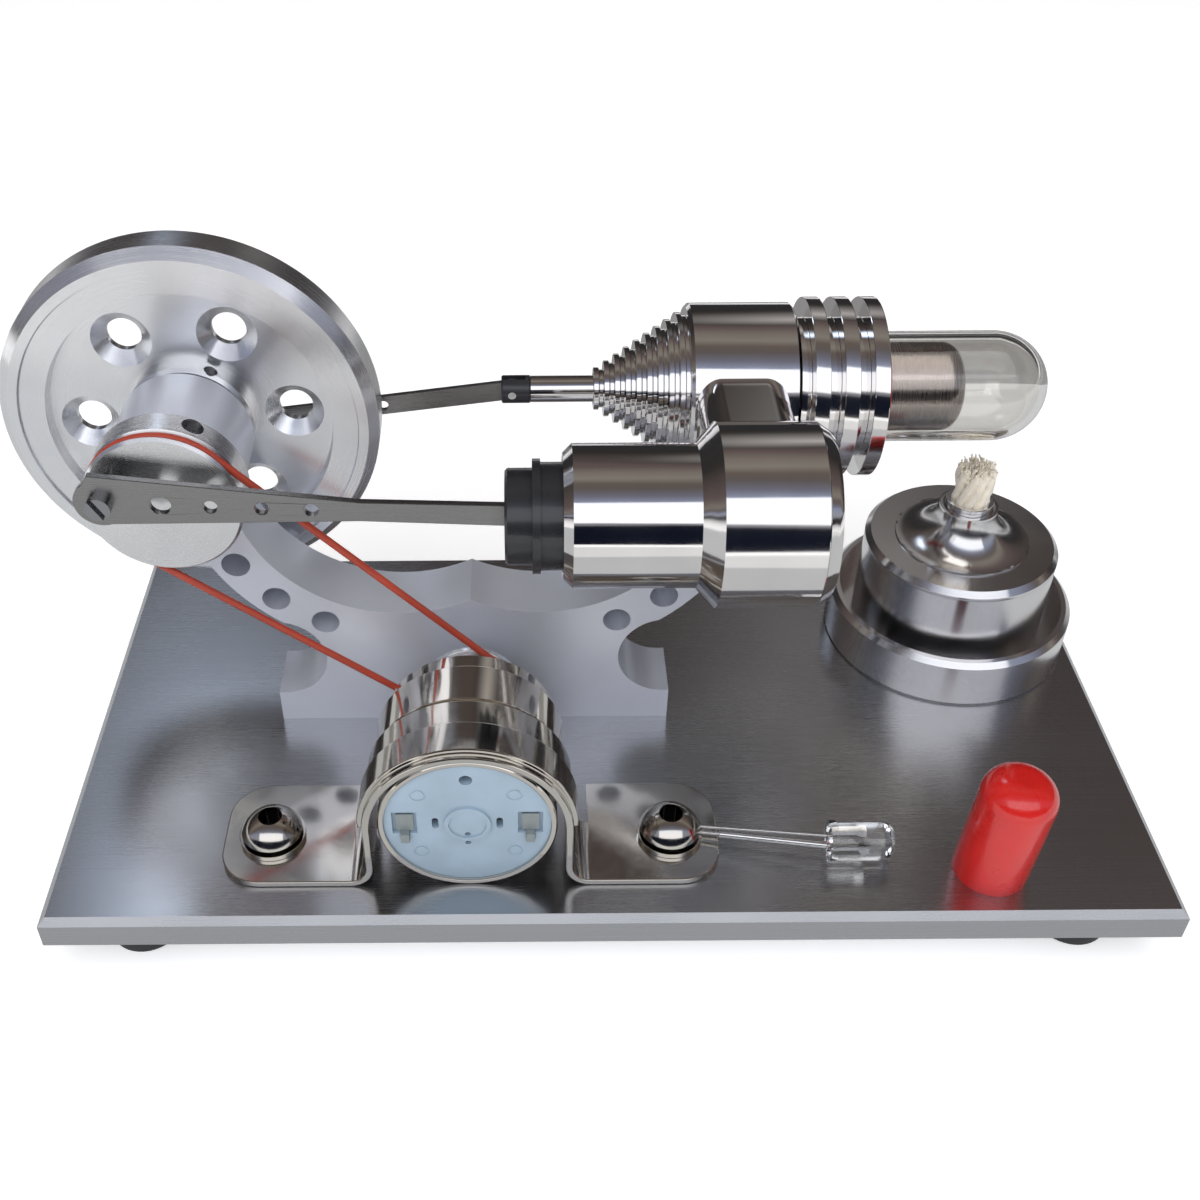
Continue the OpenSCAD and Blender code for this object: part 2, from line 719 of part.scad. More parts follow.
module displacer_cylinder() {
    chamber_r = glass_d / 2 - glass_t;
    color("silver") place() difference() {
        along_x(0, displacer_y, axis_h) turned(concat(
            [[bush_d / 2 + seat_gap, cone_x + bush_inset], [mouth_r, cone_x + bush_inset], [mouth_r, cone_x]],
            cone_profile(),
            [[body_d / 2 - 0.5, body_x], [body_d / 2, body_x + 0.5], [body_d / 2, body_back_x - 0.5],
             [body_d / 2 - 0.5, body_back_x], [neck_d / 2, body_back_x]],
            fin_profile(),
            [[glass_r + seat_gap, cylinder_back_x], [glass_r + seat_gap, glass_bore_x],
             [chamber_r, glass_bore_x], [chamber_r, chamber_x],
             [bush_d / 2 + seat_gap, chamber_x]]
        ));
        along_y(port_x, displacer_y - body_d / 2 - 1, axis_h)
            cylinder(d = port_d, h = body_d / 2 + 1, $fn = 32);
    }
}
module gland_bush() {
    color("darkgoldenrod") place() along_x(cone_x + bush_inset, displacer_y, axis_h)
        ring(bush_d, displacer_shaft_d + 2 * slide_gap, chamber_x - cone_x - bush_inset - 0.5);
}
module glass_tube() {
    inner_r = glass_r - glass_t;
    start = glass_bore_x + 0.5;
    color("azure", 0.35) place() along_x(0, displacer_y, axis_h) rotate_extrude() difference() {
        union() {
            translate([0, start]) square([glass_r, glass_centre_x - start]);
            intersection() {
                translate([0, glass_centre_x]) circle(r = glass_r, $fn = 96);
                translate([0, glass_centre_x]) square(glass_r);
            }
        }
        translate([-eps, start - 1]) square([inner_r + eps, glass_centre_x - start + 1]);
        translate([0, glass_centre_x]) circle(r = inner_r, $fn = 96);
    }
}
module glass_seals() {
    color("firebrick") place() for (x = [glass_bore_x, cylinder_back_x])
        along_x(x, displacer_y, axis_h) if (x == glass_bore_x)
            ring(glass_d - 0.2, glass_d - 2 * glass_t + 0.4, 0.5);
        else ring(glass_d + 1.6, glass_d + 2 * seat_gap, seal_d);
}
module displacer_shell() {
    r = displacer_d / 2;
    color("silver") place() along_x(0, displacer_y, axis_h) rotate_extrude() difference() {
        union() {
            translate([0, displacer_x]) square([r, displacer_back_x - displacer_round - displacer_x]);
            translate([0, displacer_x]) square([r - displacer_round, displacer_back_x - displacer_x]);
            translate([r - displacer_round, displacer_back_x - displacer_round])
                circle(r = displacer_round, $fn = 48);
        }
        translate([-r, displacer_x - 1])
            square([2 * r - shell_t, displacer_back_x - displacer_x - displacer_round + 1]);
    }
}
module displacer_plug() {
    color("gray") place() along_x(displacer_x, displacer_y, axis_h)
        ring(displacer_d - 2 * shell_t - 2 * seat_gap, displacer_shaft_d + 2 * seat_gap, plug_l);
}
module displacer_shaft() {
    start = fork_x + fork_back;
    color("silver") place() along_x(start, displacer_y, axis_h)
        cylinder(d = displacer_shaft_d, h = displacer_x + plug_l + 1 - start);
}
module shaft_fork() {
    r = fork_d / 2;
    color("#2b2c30") place() difference() {
        along_x(0, displacer_y, axis_h) turned([
            [0, fork_x - fork_front], [r - 0.2, fork_x - fork_front],
            [r, fork_x - fork_front + 0.2], [r, fork_x + fork_back - 0.2],
            [r - 0.2, fork_x + fork_back], [0, fork_x + fork_back]
        ]);
        translate([fork_x - fork_front - 1, displacer_y - rod_t / 2 - 0.1, axis_h - 4])
            cube([fork_front + 1 + fork_back - 0.8, rod_t + 0.2, 8]);
        along_y(fork_x, displacer_y - 4, axis_h)
            cylinder(d = fork_pin_d + 2 * seat_gap, h = 8, $fn = 32);
    }
}
module fork_pin() {
    color("silver") place() along_y(fork_x, displacer_y - fork_d / 2 + 0.1, axis_h)
        cylinder(d = fork_pin_d, h = fork_d - 0.2, $fn = 32);
}
module displacer_rod() {
    l = displacer_rod_l;
    t = rod_t - 0.2;
    color("silver") place() translate([fork_x, 0, axis_h]) rotate([0, displacer_tilt, 0])
        difference() {
            union() {
                rod_round(displacer_y, t, 0, 3.4);
                rod_round(displacer_y, t, -l, 5.6);
                plate_xz(displacer_y - t / 2, t)
                    polygon([[-l, 1.5], [0, 1.55], [0, -1.55], [-l, -1.5]]);
            }
            rod_round(displacer_y, 3 * t, 0, fork_pin_d + 2 * slide_gap);
            rod_round(displacer_y, 3 * t, -l, crank_pin_d + 2 * seat_gap);
            rod_round(displacer_y, 3 * t, 30 - l, 1.6);
        }
}
module displacer_crank_screw() {
    t = rod_t - 0.2;
    back = displacer_y + t / 2 + rod_head_t;
    color("dimgray") place() translate([displacer_pin[0], back, displacer_pin[1]])
        rotate([90, 0, 0])
            slotted_screw(rod_head_d, rod_head_t, back - rod_head_t - hub_back - open_gap);
}

module motor_can() {
    r = motor_d / 2;
    color("silver") place() along_y(motor_x, motor_y, motor_z) turned([
        [r - can_t, 0], [r - 0.2, 0], [r, 0.2], [r, motor_l - 0.4], [r - 0.4, motor_l], [4, motor_l],
        [4, motor_l + 1.5], [motor_shaft_d / 2 + 1.6, motor_l + 1.5],
        [motor_shaft_d / 2 + 1.6, motor_l - can_t], [r - can_t, motor_l - can_t]
    ]);
    // The sleeve round the can behind the strap
    color("silver") place() along_y(motor_x, strap_y + strap_arch_w + 0.1, motor_z)
        rotate(90 + flux_gap / 2) rotate_extrude(angle = 360 - flux_gap)
            translate([r - 0.1, 0]) square([flux_d / 2 - r + 0.1, flux_w]);
}
module motor_end_cap() {
    r = motor_d / 2 - can_t - seat_gap;
    color("#aebfc8") place() difference() {
        along_y(motor_x, motor_y + 0.5, motor_z) difference() {
            union() {
                cylinder(r = r, h = 1.6);
                translate([0, 0, -0.4]) ring(6.4, 5.2, 0.5);
                translate([0, 0, -0.15]) cylinder(d = 5.2, h = 0.2);
            }
            translate([0, -8.4, -1]) cylinder(d = 1.8, h = 4, $fn = 32);
            for (side = [-1, 1]) translate([side * 4.4, 0, -1]) hole_slot();
            for (y = [2.1, 4]) translate([0, y, -1]) cylinder(d = 0.8, h = 4, $fn = 24);
            for (sx = [-1, 1], sy = [-1, 1])
                translate([sx * 6.5, sy * 5.6, -0.05]) ring(2.2, 1.6, 0.15);
            for (side = [-1, 1]) translate([side * 8.6, 0, -0.05]) {
                translate([-1.7, -2.2, 0]) cube([3.4, 4.2, 0.7]);
                translate([-0.65, 1.9, 0]) cube([1.3, 1.4, 0.7]);
            }
        }
        along_y(motor_x, motor_y + 1.2, motor_z) cylinder(d = 4.4, h = 2);
    }
}
module hole_slot() {
    for (y = [-0.6, 0.6]) translate([0, y, 0]) cylinder(d = 0.9, h = 4, $fn = 24);
    translate([-0.45, -0.6, 0]) cube([0.9, 1.2, 4]);
}
module motor_terminals() {
    color("silver") place() for (side = [-1, 1])
        translate([motor_x + side * 8.6, motor_y + 0.7, motor_z]) {
            translate([-1.2, 0, -1.6]) cube([2.4, 0.35, 3.2]);
            translate([-0.6, -0.9, -3.2]) cube([1.2, 1.25, 1.6]);
        }
}
module motor_bearings() {
    color("darkgoldenrod") place() {
        along_y(motor_x, motor_y + 1.2 + seat_gap, motor_z)
            ring(4.4 - 2 * seat_gap, motor_shaft_d + 2 * slide_gap, 1.6);
        along_y(motor_x, motor_back - can_t, motor_z)
            ring(motor_shaft_d + 3.2 - 2 * seat_gap, motor_shaft_d + 2 * slide_gap, 2.3);
    }
}
module motor_magnets() {
    outer = motor_d / 2 - can_t - seat_gap;
    color("#3a3536") place() for (side = [0, 180])
        along_y(motor_x, motor_y + 5, motor_z) rotate(side - 60) rotate_extrude(angle = 120)
            translate([outer - 2.4, 0]) square([2.4, motor_l - 8]);
}
module motor_brushes() {
    color("darkgoldenrod") place() for (side = [-1, 1])
        translate([motor_x + side * 2.7 - 0.2, motor_y + 3.2, motor_z - 1.2]) cube([0.4, 1.6, 2.4]);
}
module motor_core() {
    color("#55565a") place() along_y(motor_x, motor_y + 7, motor_z) difference() {
        union() {
            cylinder(d = 6, h = 11);
            for (k = [0:2]) rotate(k * 120 + 90) {
                translate([0, -1.2, 0]) cube([7.4, 2.4, 11]);
                rotate(-42) rotate_extrude(angle = 84) translate([7.2, 0]) square([1.2, 11]);
            }
        }
        translate([0, 0, -1]) cylinder(d = motor_shaft_d + 2 * seat_gap, h = 13);
    }
}
module motor_windings() {
    color("peru") place() along_y(motor_x, motor_y + 6.2, motor_z)
        for (k = [0:2]) rotate(k * 120 + 90) difference() {
            translate([3.6, -2.4, 0]) cube([3, 4.8, 12.6]);
            translate([3, -1.2 - seat_gap, 0.8 - seat_gap])
                cube([6, 2.4 + 2 * seat_gap, 11 + 2 * seat_gap]);
        }
}
module motor_commutator() {
    color("peru") place() along_y(motor_x, motor_y + 3, motor_z)
        ring(4.8, motor_shaft_d + 2 * seat_gap, 2.6);
}
module motor_shaft() {
    color("silver") place() along_y(motor_x, motor_y + 1.4, motor_z)
        cylinder(d = motor_shaft_d, h = belt_y + 3 - motor_y - 1.4);
}
module motor_pulley() {
    start = belt_y - 2;
    color("gainsboro") place() along_y(motor_x, start, motor_z) difference() {
        turned([
            [motor_shaft_d / 2 + seat_gap, 0], [pulley_d / 2 - 0.3, 0], [pulley_d / 2, 0.3],
            [pulley_d / 2, 3.7], [pulley_d / 2 - 0.3, 4], [pulley_hub_d / 2, 4],
            [pulley_hub_d / 2, 5.5], [motor_shaft_d / 2 + seat_gap, 5.5]
        ]);
        groove_cut(pulley_d, 2);
    }
}
// The belt is two arcs and two straight runs, all tangent to both grooves. The runs reach a
// little way into the arcs, which are a hair thicker.
belt_r = belt_d / 2;
belt_disc_r = disc_d / 2 - groove_depth + belt_gap + belt_r;
belt_pulley_r = pulley_d / 2 - groove_depth + belt_gap + belt_r;
belt_dx = motor_x - crank_x;
belt_dz = motor_z - axis_h;
belt_span = sqrt(belt_dx * belt_dx + belt_dz * belt_dz);
belt_dir = atan2(belt_dz, belt_dx);
belt_open = acos((belt_disc_r - belt_pulley_r) / belt_span);
belt_run = sqrt(pow(belt_span, 2) - pow(belt_disc_r - belt_pulley_r, 2));
module belt_arc(x, z, r, from, sweep) {
    translate([x, belt_y, z]) rotate([90, 0, 0]) rotate(from)
        rotate_extrude(angle = sweep) translate([r, 0]) circle(d = belt_d + 0.03, $fn = 16);
}
module drive_belt() {
    color("red") place() {
        belt_arc(crank_x, axis_h, belt_disc_r, belt_dir + belt_open, 360 - 2 * belt_open);
        belt_arc(motor_x, motor_z, belt_pulley_r, belt_dir - belt_open, 2 * belt_open);
        for (side = [-1, 1]) {
            a = belt_dir + side * belt_open;
            translate([crank_x + belt_disc_r * cos(a), belt_y, axis_h + belt_disc_r * sin(a)])
                rotate([0, 90 - (a - side * 90), 0]) translate([0, 0, -0.2])
                    cylinder(d = belt_d, h = belt_run + 0.4, $fn = 16);
        }
    }
}
// The strap's arch, its legs and their bends in X and Z, from the middle outwards
module strap_half_outline(out) {
    r = strap_r + out;
    translate([0, strap_arch_z]) difference() {
        circle(r = r + strap_t, $fn = 96);
        circle(r = r, $fn = 96);
        translate([-2 * r, -2 * r]) square([4 * r, 2 * r]);
    }
}
module strap_leg_outline() {
    leg_x = strap_r;
    low = strap_bend + strap_t;
    translate([leg_x, low]) square([strap_t, strap_arch_z - low]);
    intersection() {
        translate([leg_x + strap_t + strap_bend, low]) difference() {
            circle(r = strap_bend + strap_t, $fn = 64);
            circle(r = strap_bend, $fn = 64);
        }
        translate([leg_x, 0]) square([strap_bend + strap_t, low]);
    }
}
module motor_strap() {
    flange_in = strap_r + strap_t + strap_bend;
    flange_out = strap_pitch / 2 + strap_flange_x;
    flange_corner = 6;
    color("silver") place() difference() {
        union() {
            plate_xz(strap_y, strap_arch_w) translate([motor_x, 0]) {
                strap_half_outline(0);
                strap_leg_outline();
                mirror([1, 0]) strap_leg_outline();
            }
            plate_xz(strap_y + 1, strap_bead_w) translate([motor_x, 0])
                strap_half_outline(strap_bead);
            for (side = [0, 1]) translate([motor_x, strap_y, 0]) mirror([side, 0, 0])
                linear_extrude(strap_t) {
                    translate([flange_in, 0])
                        square([flange_out - flange_in - flange_corner, strap_flange_w]);
                    translate([flange_in, flange_corner])
                        square([flange_out - flange_in, strap_flange_w - 2 * flange_corner]);
                    for (y = [flange_corner, strap_flange_w - flange_corner])
                        translate([flange_out - flange_corner, y])
                            circle(r = flange_corner, $fn = 64);
                }
        }
        strap_screw_places() translate([0, 0, -1])
            cylinder(d = m5_d + 2 * seat_gap, h = strap_t + 2);
    }
}
module strap_washers() {
    color("silver") place() strap_screw_places() translate([0, 0, strap_t])
        ring(washer_d, m5_d + 2 * seat_gap, washer_t);
}
module strap_screws() {
    dome_r = (pow(button_d / 2, 2) + pow(button_h, 2)) / (2 * button_h);
    head_z = strap_t + washer_t + lead_d + 2 * lead_gap;
    color("silver") place() strap_screw_places() difference() {
        union() {
            translate([0, 0, head_z]) intersection() {
                translate([0, 0, button_h - dome_r]) sphere(r = dome_r, $fn = 64);
                cylinder(d = button_d, h = button_h);
            }
            translate([0, 0, -plate_t + 0.5]) cylinder(d = m5_d, h = head_z + plate_t - 0.4);
        }
        translate([0, 0, head_z + button_h - 2.2]) cylinder(d = hex_key_d, h = 3, $fn = 6);
    }
}
module lamp_lens() {
    color("azure", 0.4) place() along_x(lamp_x, lamp_y, lamp_z) {
        turned([
            [0, 0], [lamp_flange_d / 2, 0], [lamp_flange_d / 2, lamp_flange_t],
            [lamp_d / 2, lamp_flange_t], [lamp_d / 2, lamp_l - 0.6], [lamp_d / 2 - 0.6, lamp_l],
            [0, lamp_l]
        ]);
    }
}
// Each lead runs straight from the lamp's flange to the gap under the head of the strap's screw.
// Children are drawn along +Z from the screw's end of the lead, whose length is $lead_run.
module along_lead(side) {
    from = [motor_x + strap_pitch / 2 + m5_d / 2 + 0.4, strap_screw_y - 0.1 + side * 0.5, lead_z];
    to = [lamp_x, lamp_y + side * lead_pitch / 2 * cos(lead_tilt),
          lamp_z - side * lead_pitch / 2 * sin(lead_tilt)];
    run = to - from;
    $lead_run = norm(run);
    translate(from) rotate([0, acos(run[2] / norm(run)), atan2(run[1], run[0])]) children();
}
module lamp_leads() {
    color("silver") place() for (side = [-1, 1])
        along_lead(side) cylinder(d = lead_d, h = $lead_run, $fn = 16);
}
module lead_sleeve() {
    color("white") place() along_lead(-1) translate([0, 0, 4.2])
        ring(sleeve_d, lead_d + 2 * seat_gap, $lead_run - 4.6);
}

module burner_foot() {
    r = burner_foot_d / 2;
    h = burner_foot_h;
    color("silver") place() translate([burner_x, burner_y, 0]) turned([
        [0, 0], [r - 0.4, 0], [r, 0.4], [r, h - 0.8], [r - 0.8, h], [r - 1.6, h],
        [r - 1.6, h - pot_seat], [0, h - pot_seat]
    ]);
}
module burner_pot() {
    r = pot_d / 2;
    bottom = burner_foot_h - pot_seat;
    color("silver") place() translate([burner_x, burner_y, 0]) turned([
        [0, bottom], [r, bottom], [r, pot_h - 1.4], [r - pot_t, pot_h - 1.4],
        [r - pot_t, bottom + pot_t], [0, bottom + pot_t]
    ]);
}
module burner_lid() {
    r = pot_d / 2;
    neck_r = tube_d / 2 + 0.9;
    flare_z = pot_h + 0.3 + flare_r;
    color("silver") place() translate([burner_x, burner_y, 0]) rotate_extrude() difference() {
        union() {
            translate([tube_d / 2 + seat_gap, pot_h - 1.4]) square([r - tube_d / 2 - seat_gap, 1.4]);
            translate([tube_d / 2 + seat_gap, pot_h - 1.4])
                square([neck_r + flare_r - tube_d / 2, 1.7 + flare_r]);
        }
        translate([neck_r + flare_r, flare_z]) circle(r = flare_r, $fn = 64);
        translate([neck_r + flare_r, pot_h + 0.3]) square([r, flare_r + 1]);
        translate([r, pot_h]) rotate(45) square([1.2, 1.2], center = true);
    }
}
module wick_tube() {
    color("silver") place() translate([burner_x, burner_y, pot_h - 6])
        ring(tube_d, wick_d + 2 * seat_gap, tube_top - pot_h + 6);
}
module wick() {
    color("wheat") place() translate([burner_x, burner_y, burner_foot_h]) turned([
        [0, 0], [wick_d / 2, 0], [wick_d / 2, tube_top - burner_foot_h],
        [wick_d / 2 + 0.3, wick_h - burner_foot_h - 2], [wick_d / 2 - 0.6, wick_h - burner_foot_h],
        [0, wick_h - burner_foot_h]
    ]);
}
// The cap leans a little, because its mouth is cut slightly askew
module snuffer_cap() {
    r = cap_d / 2;
    round_r = r * 0.75;
    dome_z = cap_h - round_r;
    color("red") place() translate([cap_x, cap_y, 0]) difference() {
        rotate([0, cap_lean, 0]) translate([0, 0, -1]) rotate_extrude() difference() {
            union() {
                square([r, dome_z + 1]);
                square([r - round_r, cap_h + 1]);
                translate([r - round_r, dome_z + 1]) circle(r = round_r, $fn = 64);
            }
            translate([-2 * r, -1]) square([2 * r, cap_h + 3]);
            translate([-1, -1]) square([r - cap_t + 1, dome_z + 2]);
        }
        translate([-cap_d, -cap_d, -3]) cube([2 * cap_d, 2 * cap_d, 3]);
    }
}

base_plate();
rubber_feet();
foot_screws();
engine_frame();
frame_screws();
bearing_outer_rings();
bearing_balls();
connecting_block();
block_screws();
power_cylinder();
power_cylinder_head();
displacer_cylinder();
gland_bush();
glass_tube();
glass_seals();
drive_belt();
motor_can();
motor_end_cap();
motor_terminals();
motor_bearings();
motor_magnets();
motor_brushes();
motor_strap();
strap_screws();
strap_washers();
lamp_lens();
lamp_leads();
lead_sleeve();
crank_disc();
crank_grub_screw();
crankshaft();
flywheel();
flywheel_grub_screw();
bearing_inner_rings();
shaft_spacers();
motor_core();
motor_windings();
motor_commutator();
motor_shaft();
motor_pulley();
power_piston();
wrist_pin();
power_rod();
crank_screw();
crank_washer();
displacer_shell();
displacer_plug();
displacer_shaft();
shaft_fork();
fork_pin();
displacer_rod();
displacer_crank_screw();
burner_foot();
burner_pot();
burner_lid();
wick_tube();
wick();
snuffer_cap();
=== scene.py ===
"""Looks of a small hot-air engine with a flywheel, generator, lamp and spirit burner.

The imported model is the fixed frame. Copies of its shapes are merged, broken at their edges and
given turned, brushed, blasted or moulded finishes. The wick's yarns and the posts inside the lamp
are modelled here.
"""

from __future__ import annotations

import logging
import math
import random
from dataclasses import dataclass, field
from enum import Enum

import bpy
from mathutils import Matrix, Vector

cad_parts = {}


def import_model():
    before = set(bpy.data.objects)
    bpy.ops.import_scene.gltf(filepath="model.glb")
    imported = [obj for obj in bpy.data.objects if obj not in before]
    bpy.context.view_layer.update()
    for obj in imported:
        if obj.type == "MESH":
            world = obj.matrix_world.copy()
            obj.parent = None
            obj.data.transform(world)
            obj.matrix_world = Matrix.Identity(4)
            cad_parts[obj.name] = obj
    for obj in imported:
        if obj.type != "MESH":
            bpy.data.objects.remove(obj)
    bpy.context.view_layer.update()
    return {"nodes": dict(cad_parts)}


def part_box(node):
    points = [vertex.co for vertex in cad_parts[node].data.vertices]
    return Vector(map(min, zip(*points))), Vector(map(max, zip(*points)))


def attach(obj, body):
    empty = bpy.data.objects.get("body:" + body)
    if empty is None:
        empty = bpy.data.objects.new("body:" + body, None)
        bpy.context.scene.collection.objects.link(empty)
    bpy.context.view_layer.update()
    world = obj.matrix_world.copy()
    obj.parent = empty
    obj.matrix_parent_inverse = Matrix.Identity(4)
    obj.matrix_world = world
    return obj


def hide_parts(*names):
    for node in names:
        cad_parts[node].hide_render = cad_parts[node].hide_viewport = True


LOG = logging.getLogger("engine")
MM = 0.001
MERGE_DISTANCE = 0.002 * MM
BEVEL_ANGLE = math.radians(50)
FLAT_WEIGHT = 100
Colour = tuple[float, float, float]


class Axis(Enum):
    """The direction that a part was turned about."""

    X = 0
    Y = 1
    Z = 2


class Body(Enum):
    """The moving groups of the engine."""

    BASE = "engine_base"
    CRANK = "crank_assembly"
    ROTOR = "generator_rotor"
    PISTON = "power_piston_unit"
    POWER_ROD = "power_rod_unit"
    DISPLACER = "displacer_unit"
    DISPLACER_ROD = "displacer_rod_unit"
    BURNER = "spirit_burner"
    SNUFFER = "wick_snuffer"


# ---------------------------------------------------------------- node tree helper


class Graph:
    """One material's node tree, with short calls to add and join nodes."""

    def __init__(self, name: str) -> None:
        """Starts an empty tree with a Principled shader on its output.

        Args:
            name: the material's name.
        """
        self.material = bpy.data.materials.new(name)
        self.material.use_nodes = True
        self.tree = self.material.node_tree
        self.tree.nodes.clear()
        self.output = self.add("ShaderNodeOutputMaterial")
        self.shader = self.add("ShaderNodeBsdfPrincipled")
        self.tree.links.new(self.shader.outputs[0], self.output.inputs[0])

    def add(self, kind: str, **values: object) -> bpy.types.Node:
        """Adds a node.

        Args:
            kind: the node's type name.
            values: attributes of the node to set.

        Returns:
            The new node.
        """
        node = self.tree.nodes.new(kind)
        for key, value in values.items():
            setattr(node, key, value)
        return node

    def join(self, source: bpy.types.NodeSocket, node: bpy.types.Node, socket: object) -> None:
        """Links a socket to a node's input.

        Args:
            source: the output socket.
            node: the node that takes it.
            socket: the input's name or number.
        """
        self.tree.links.new(source, node.inputs[socket])

    def sums(self, operation: str, a: object, b: object = 0.0) -> bpy.types.NodeSocket:
        """Adds a Math node.

        Args:
            operation: the Math node's operation.
            a: a socket or a number.
            b: a socket or a number.

        Returns:
            The result's socket.
        """
        node = self.add("ShaderNodeMath", operation=operation)
        for i, value in enumerate((a, b)):
            if isinstance(value, (int, float)):
                node.inputs[i].default_value = value
            else:
                self.join(value, node, i)
        return node.outputs[0]

    def place(self, centre: Vector, scale: Colour = (1.0, 1.0, 1.0)) -> bpy.types.NodeSocket:
        """Object coordinates, measured from a centre and stretched.

        Args:
            centre: the pattern's zero, in metres.
            scale: how much each coordinate is multiplied.

        Returns:
            The vector's socket.
        """
        source = self.add("ShaderNodeTexCoord").outputs["Object"]
        mapping = self.add("ShaderNodeMapping")
        mapping.inputs["Location"].default_value = [-c * s for c, s in zip(centre, scale)]
        mapping.inputs["Scale"].default_value = scale
        self.join(source, mapping, "Vector")
        return mapping.outputs[0]

    def noise(self, vector: bpy.types.NodeSocket, scale: float,
              detail: float = 3.0) -> bpy.types.NodeSocket:
        """Noise on a vector.

        Args:
            vector: where it is read.
            scale: its frequency.
            detail: its octaves.

        Returns:
            The noise's value socket.
        """
        node = self.add("ShaderNodeTexNoise")
        node.inputs["Scale"].default_value = scale
        node.inputs["Detail"].default_value = detail
        self.join(vector, node, "Vector")
        return node.outputs[0]

    def span(self, value: bpy.types.NodeSocket, low: float, high: float,
             start: float = 0.3, stop: float = 0.7) -> bpy.types.NodeSocket:
        """Maps a value from start..stop to low..high, clamped.

        Args:
            value: the socket that is mapped.
            low: the result at start.
            high: the result at stop.
            start: the value that gives low.
            stop: the value that gives high.

        Returns:
            The result's socket.
        """
        node = self.add("ShaderNodeMapRange")
        for key, number in (("From Min", start), ("From Max", stop),
                            ("To Min", low), ("To Max", high)):
            node.inputs[key].default_value = number
        self.join(value, node, "Value")
        return node.outputs[0]

    def tint(self, factor: bpy.types.NodeSocket, low: Colour, high: Colour) -> bpy.types.NodeSocket:
        """Mixes two colours by a factor.

        Args:
            factor: 0 gives low and 1 gives high.
            low: a linear colour.
            high: a linear colour.

        Returns:
            The colour's socket.
        """
        node = self.add("ShaderNodeMix", data_type="RGBA")
        node.inputs[6].default_value = (*low, 1.0)
        node.inputs[7].default_value = (*high, 1.0)
        self.join(factor, node, 0)
        return node.outputs[2]

    def bump(self, height: bpy.types.NodeSocket, depth: float, strength: float = 1.0) -> None:
        """Puts a bump on the shader's normal.

        Args:
            height: the height's socket, 0 to 1.
            depth: the bump's depth in metres.
            strength: how much of it shows.
        """
        node = self.add("ShaderNodeBump")
        node.inputs["Strength"].default_value = strength
        node.inputs["Distance"].default_value = depth
        self.join(height, node, "Height")
        self.join(node.outputs[0], self.shader, "Normal")

    def set(self, **values: object) -> None:
        """Sets the shader's own sockets.

        Args:
            values: each socket's value; an underscore in a name stands for a space.
        """
        for key, value in values.items():
            self.shader.inputs[key.replace("_", " ")].default_value = value


# ---------------------------------------------------------------- finishes


@dataclass(frozen=True)
class TurnedMetal:
    """Metal from the lathe: fine rings round its axis, with faint handling marks."""

    name: str
    colour: Colour = (0.86, 0.85, 0.84)
    roughness: float = 0.08
    ring_pitch: float = 0.12
    ring_depth: float = 0.0006
    anisotropy: float = 0.0

    def build(self, centre: Vector, axis: Axis) -> bpy.types.Material:
        """Makes the material.

        Args:
            centre: a point on the turning axis.
            axis: the turning axis.

        Returns:
            The material.
        """
        g = Graph(self.name)
        place = g.place(centre)
        split = g.add("ShaderNodeSeparateXYZ")
        g.join(place, split, 0)
        along = split.outputs[axis.value]
        others = [split.outputs[i] for i in range(3) if i != axis.value]
        squares = [g.sums("MULTIPLY", o, o) for o in others]
        radius = g.sums("SQRT", g.sums("ADD", squares[0], squares[1]))
        rings = g.add("ShaderNodeCombineXYZ")
        g.join(along, rings, 0)
        g.join(radius, rings, 1)
        fine = g.noise(rings.outputs[0], 1 / (self.ring_pitch * MM), 2.0)
        handling = g.noise(place, 90.0, 4.0)
        self._dress(g, centre, fine, handling)
        if self.anisotropy:
            g.set(Anisotropic=self.anisotropy, Anisotropic_Rotation=0.25)
            tangent = g.add("ShaderNodeTangent", direction_type="RADIAL", axis=axis.name)
            g.join(tangent.outputs[0], g.shader, "Tangent")
        return g.material

    def _dress(self, g: Graph, centre: Vector, fine: bpy.types.NodeSocket,
               handling: bpy.types.NodeSocket) -> None:
        """Joins the rings and the handling marks to the shader.

        Args:
            g: the material's tree.
            centre: a point on the turning axis.
            fine: the ring noise.
            handling: the smudge noise.
        """
        dark = tuple(c * 0.9 for c in self.colour)
        g.set(Metallic=1.0)
        g.join(g.tint(g.span(handling, 0.0, 1.0), dark, self.colour), g.shader, "Base Color")
        mixed = g.sums("ADD", g.span(handling, 0.0, 0.05),
                       g.span(fine, self.roughness * 0.8, self.roughness * 1.2))
        g.join(mixed, g.shader, "Roughness")
        g.bump(fine, self.ring_depth * MM)


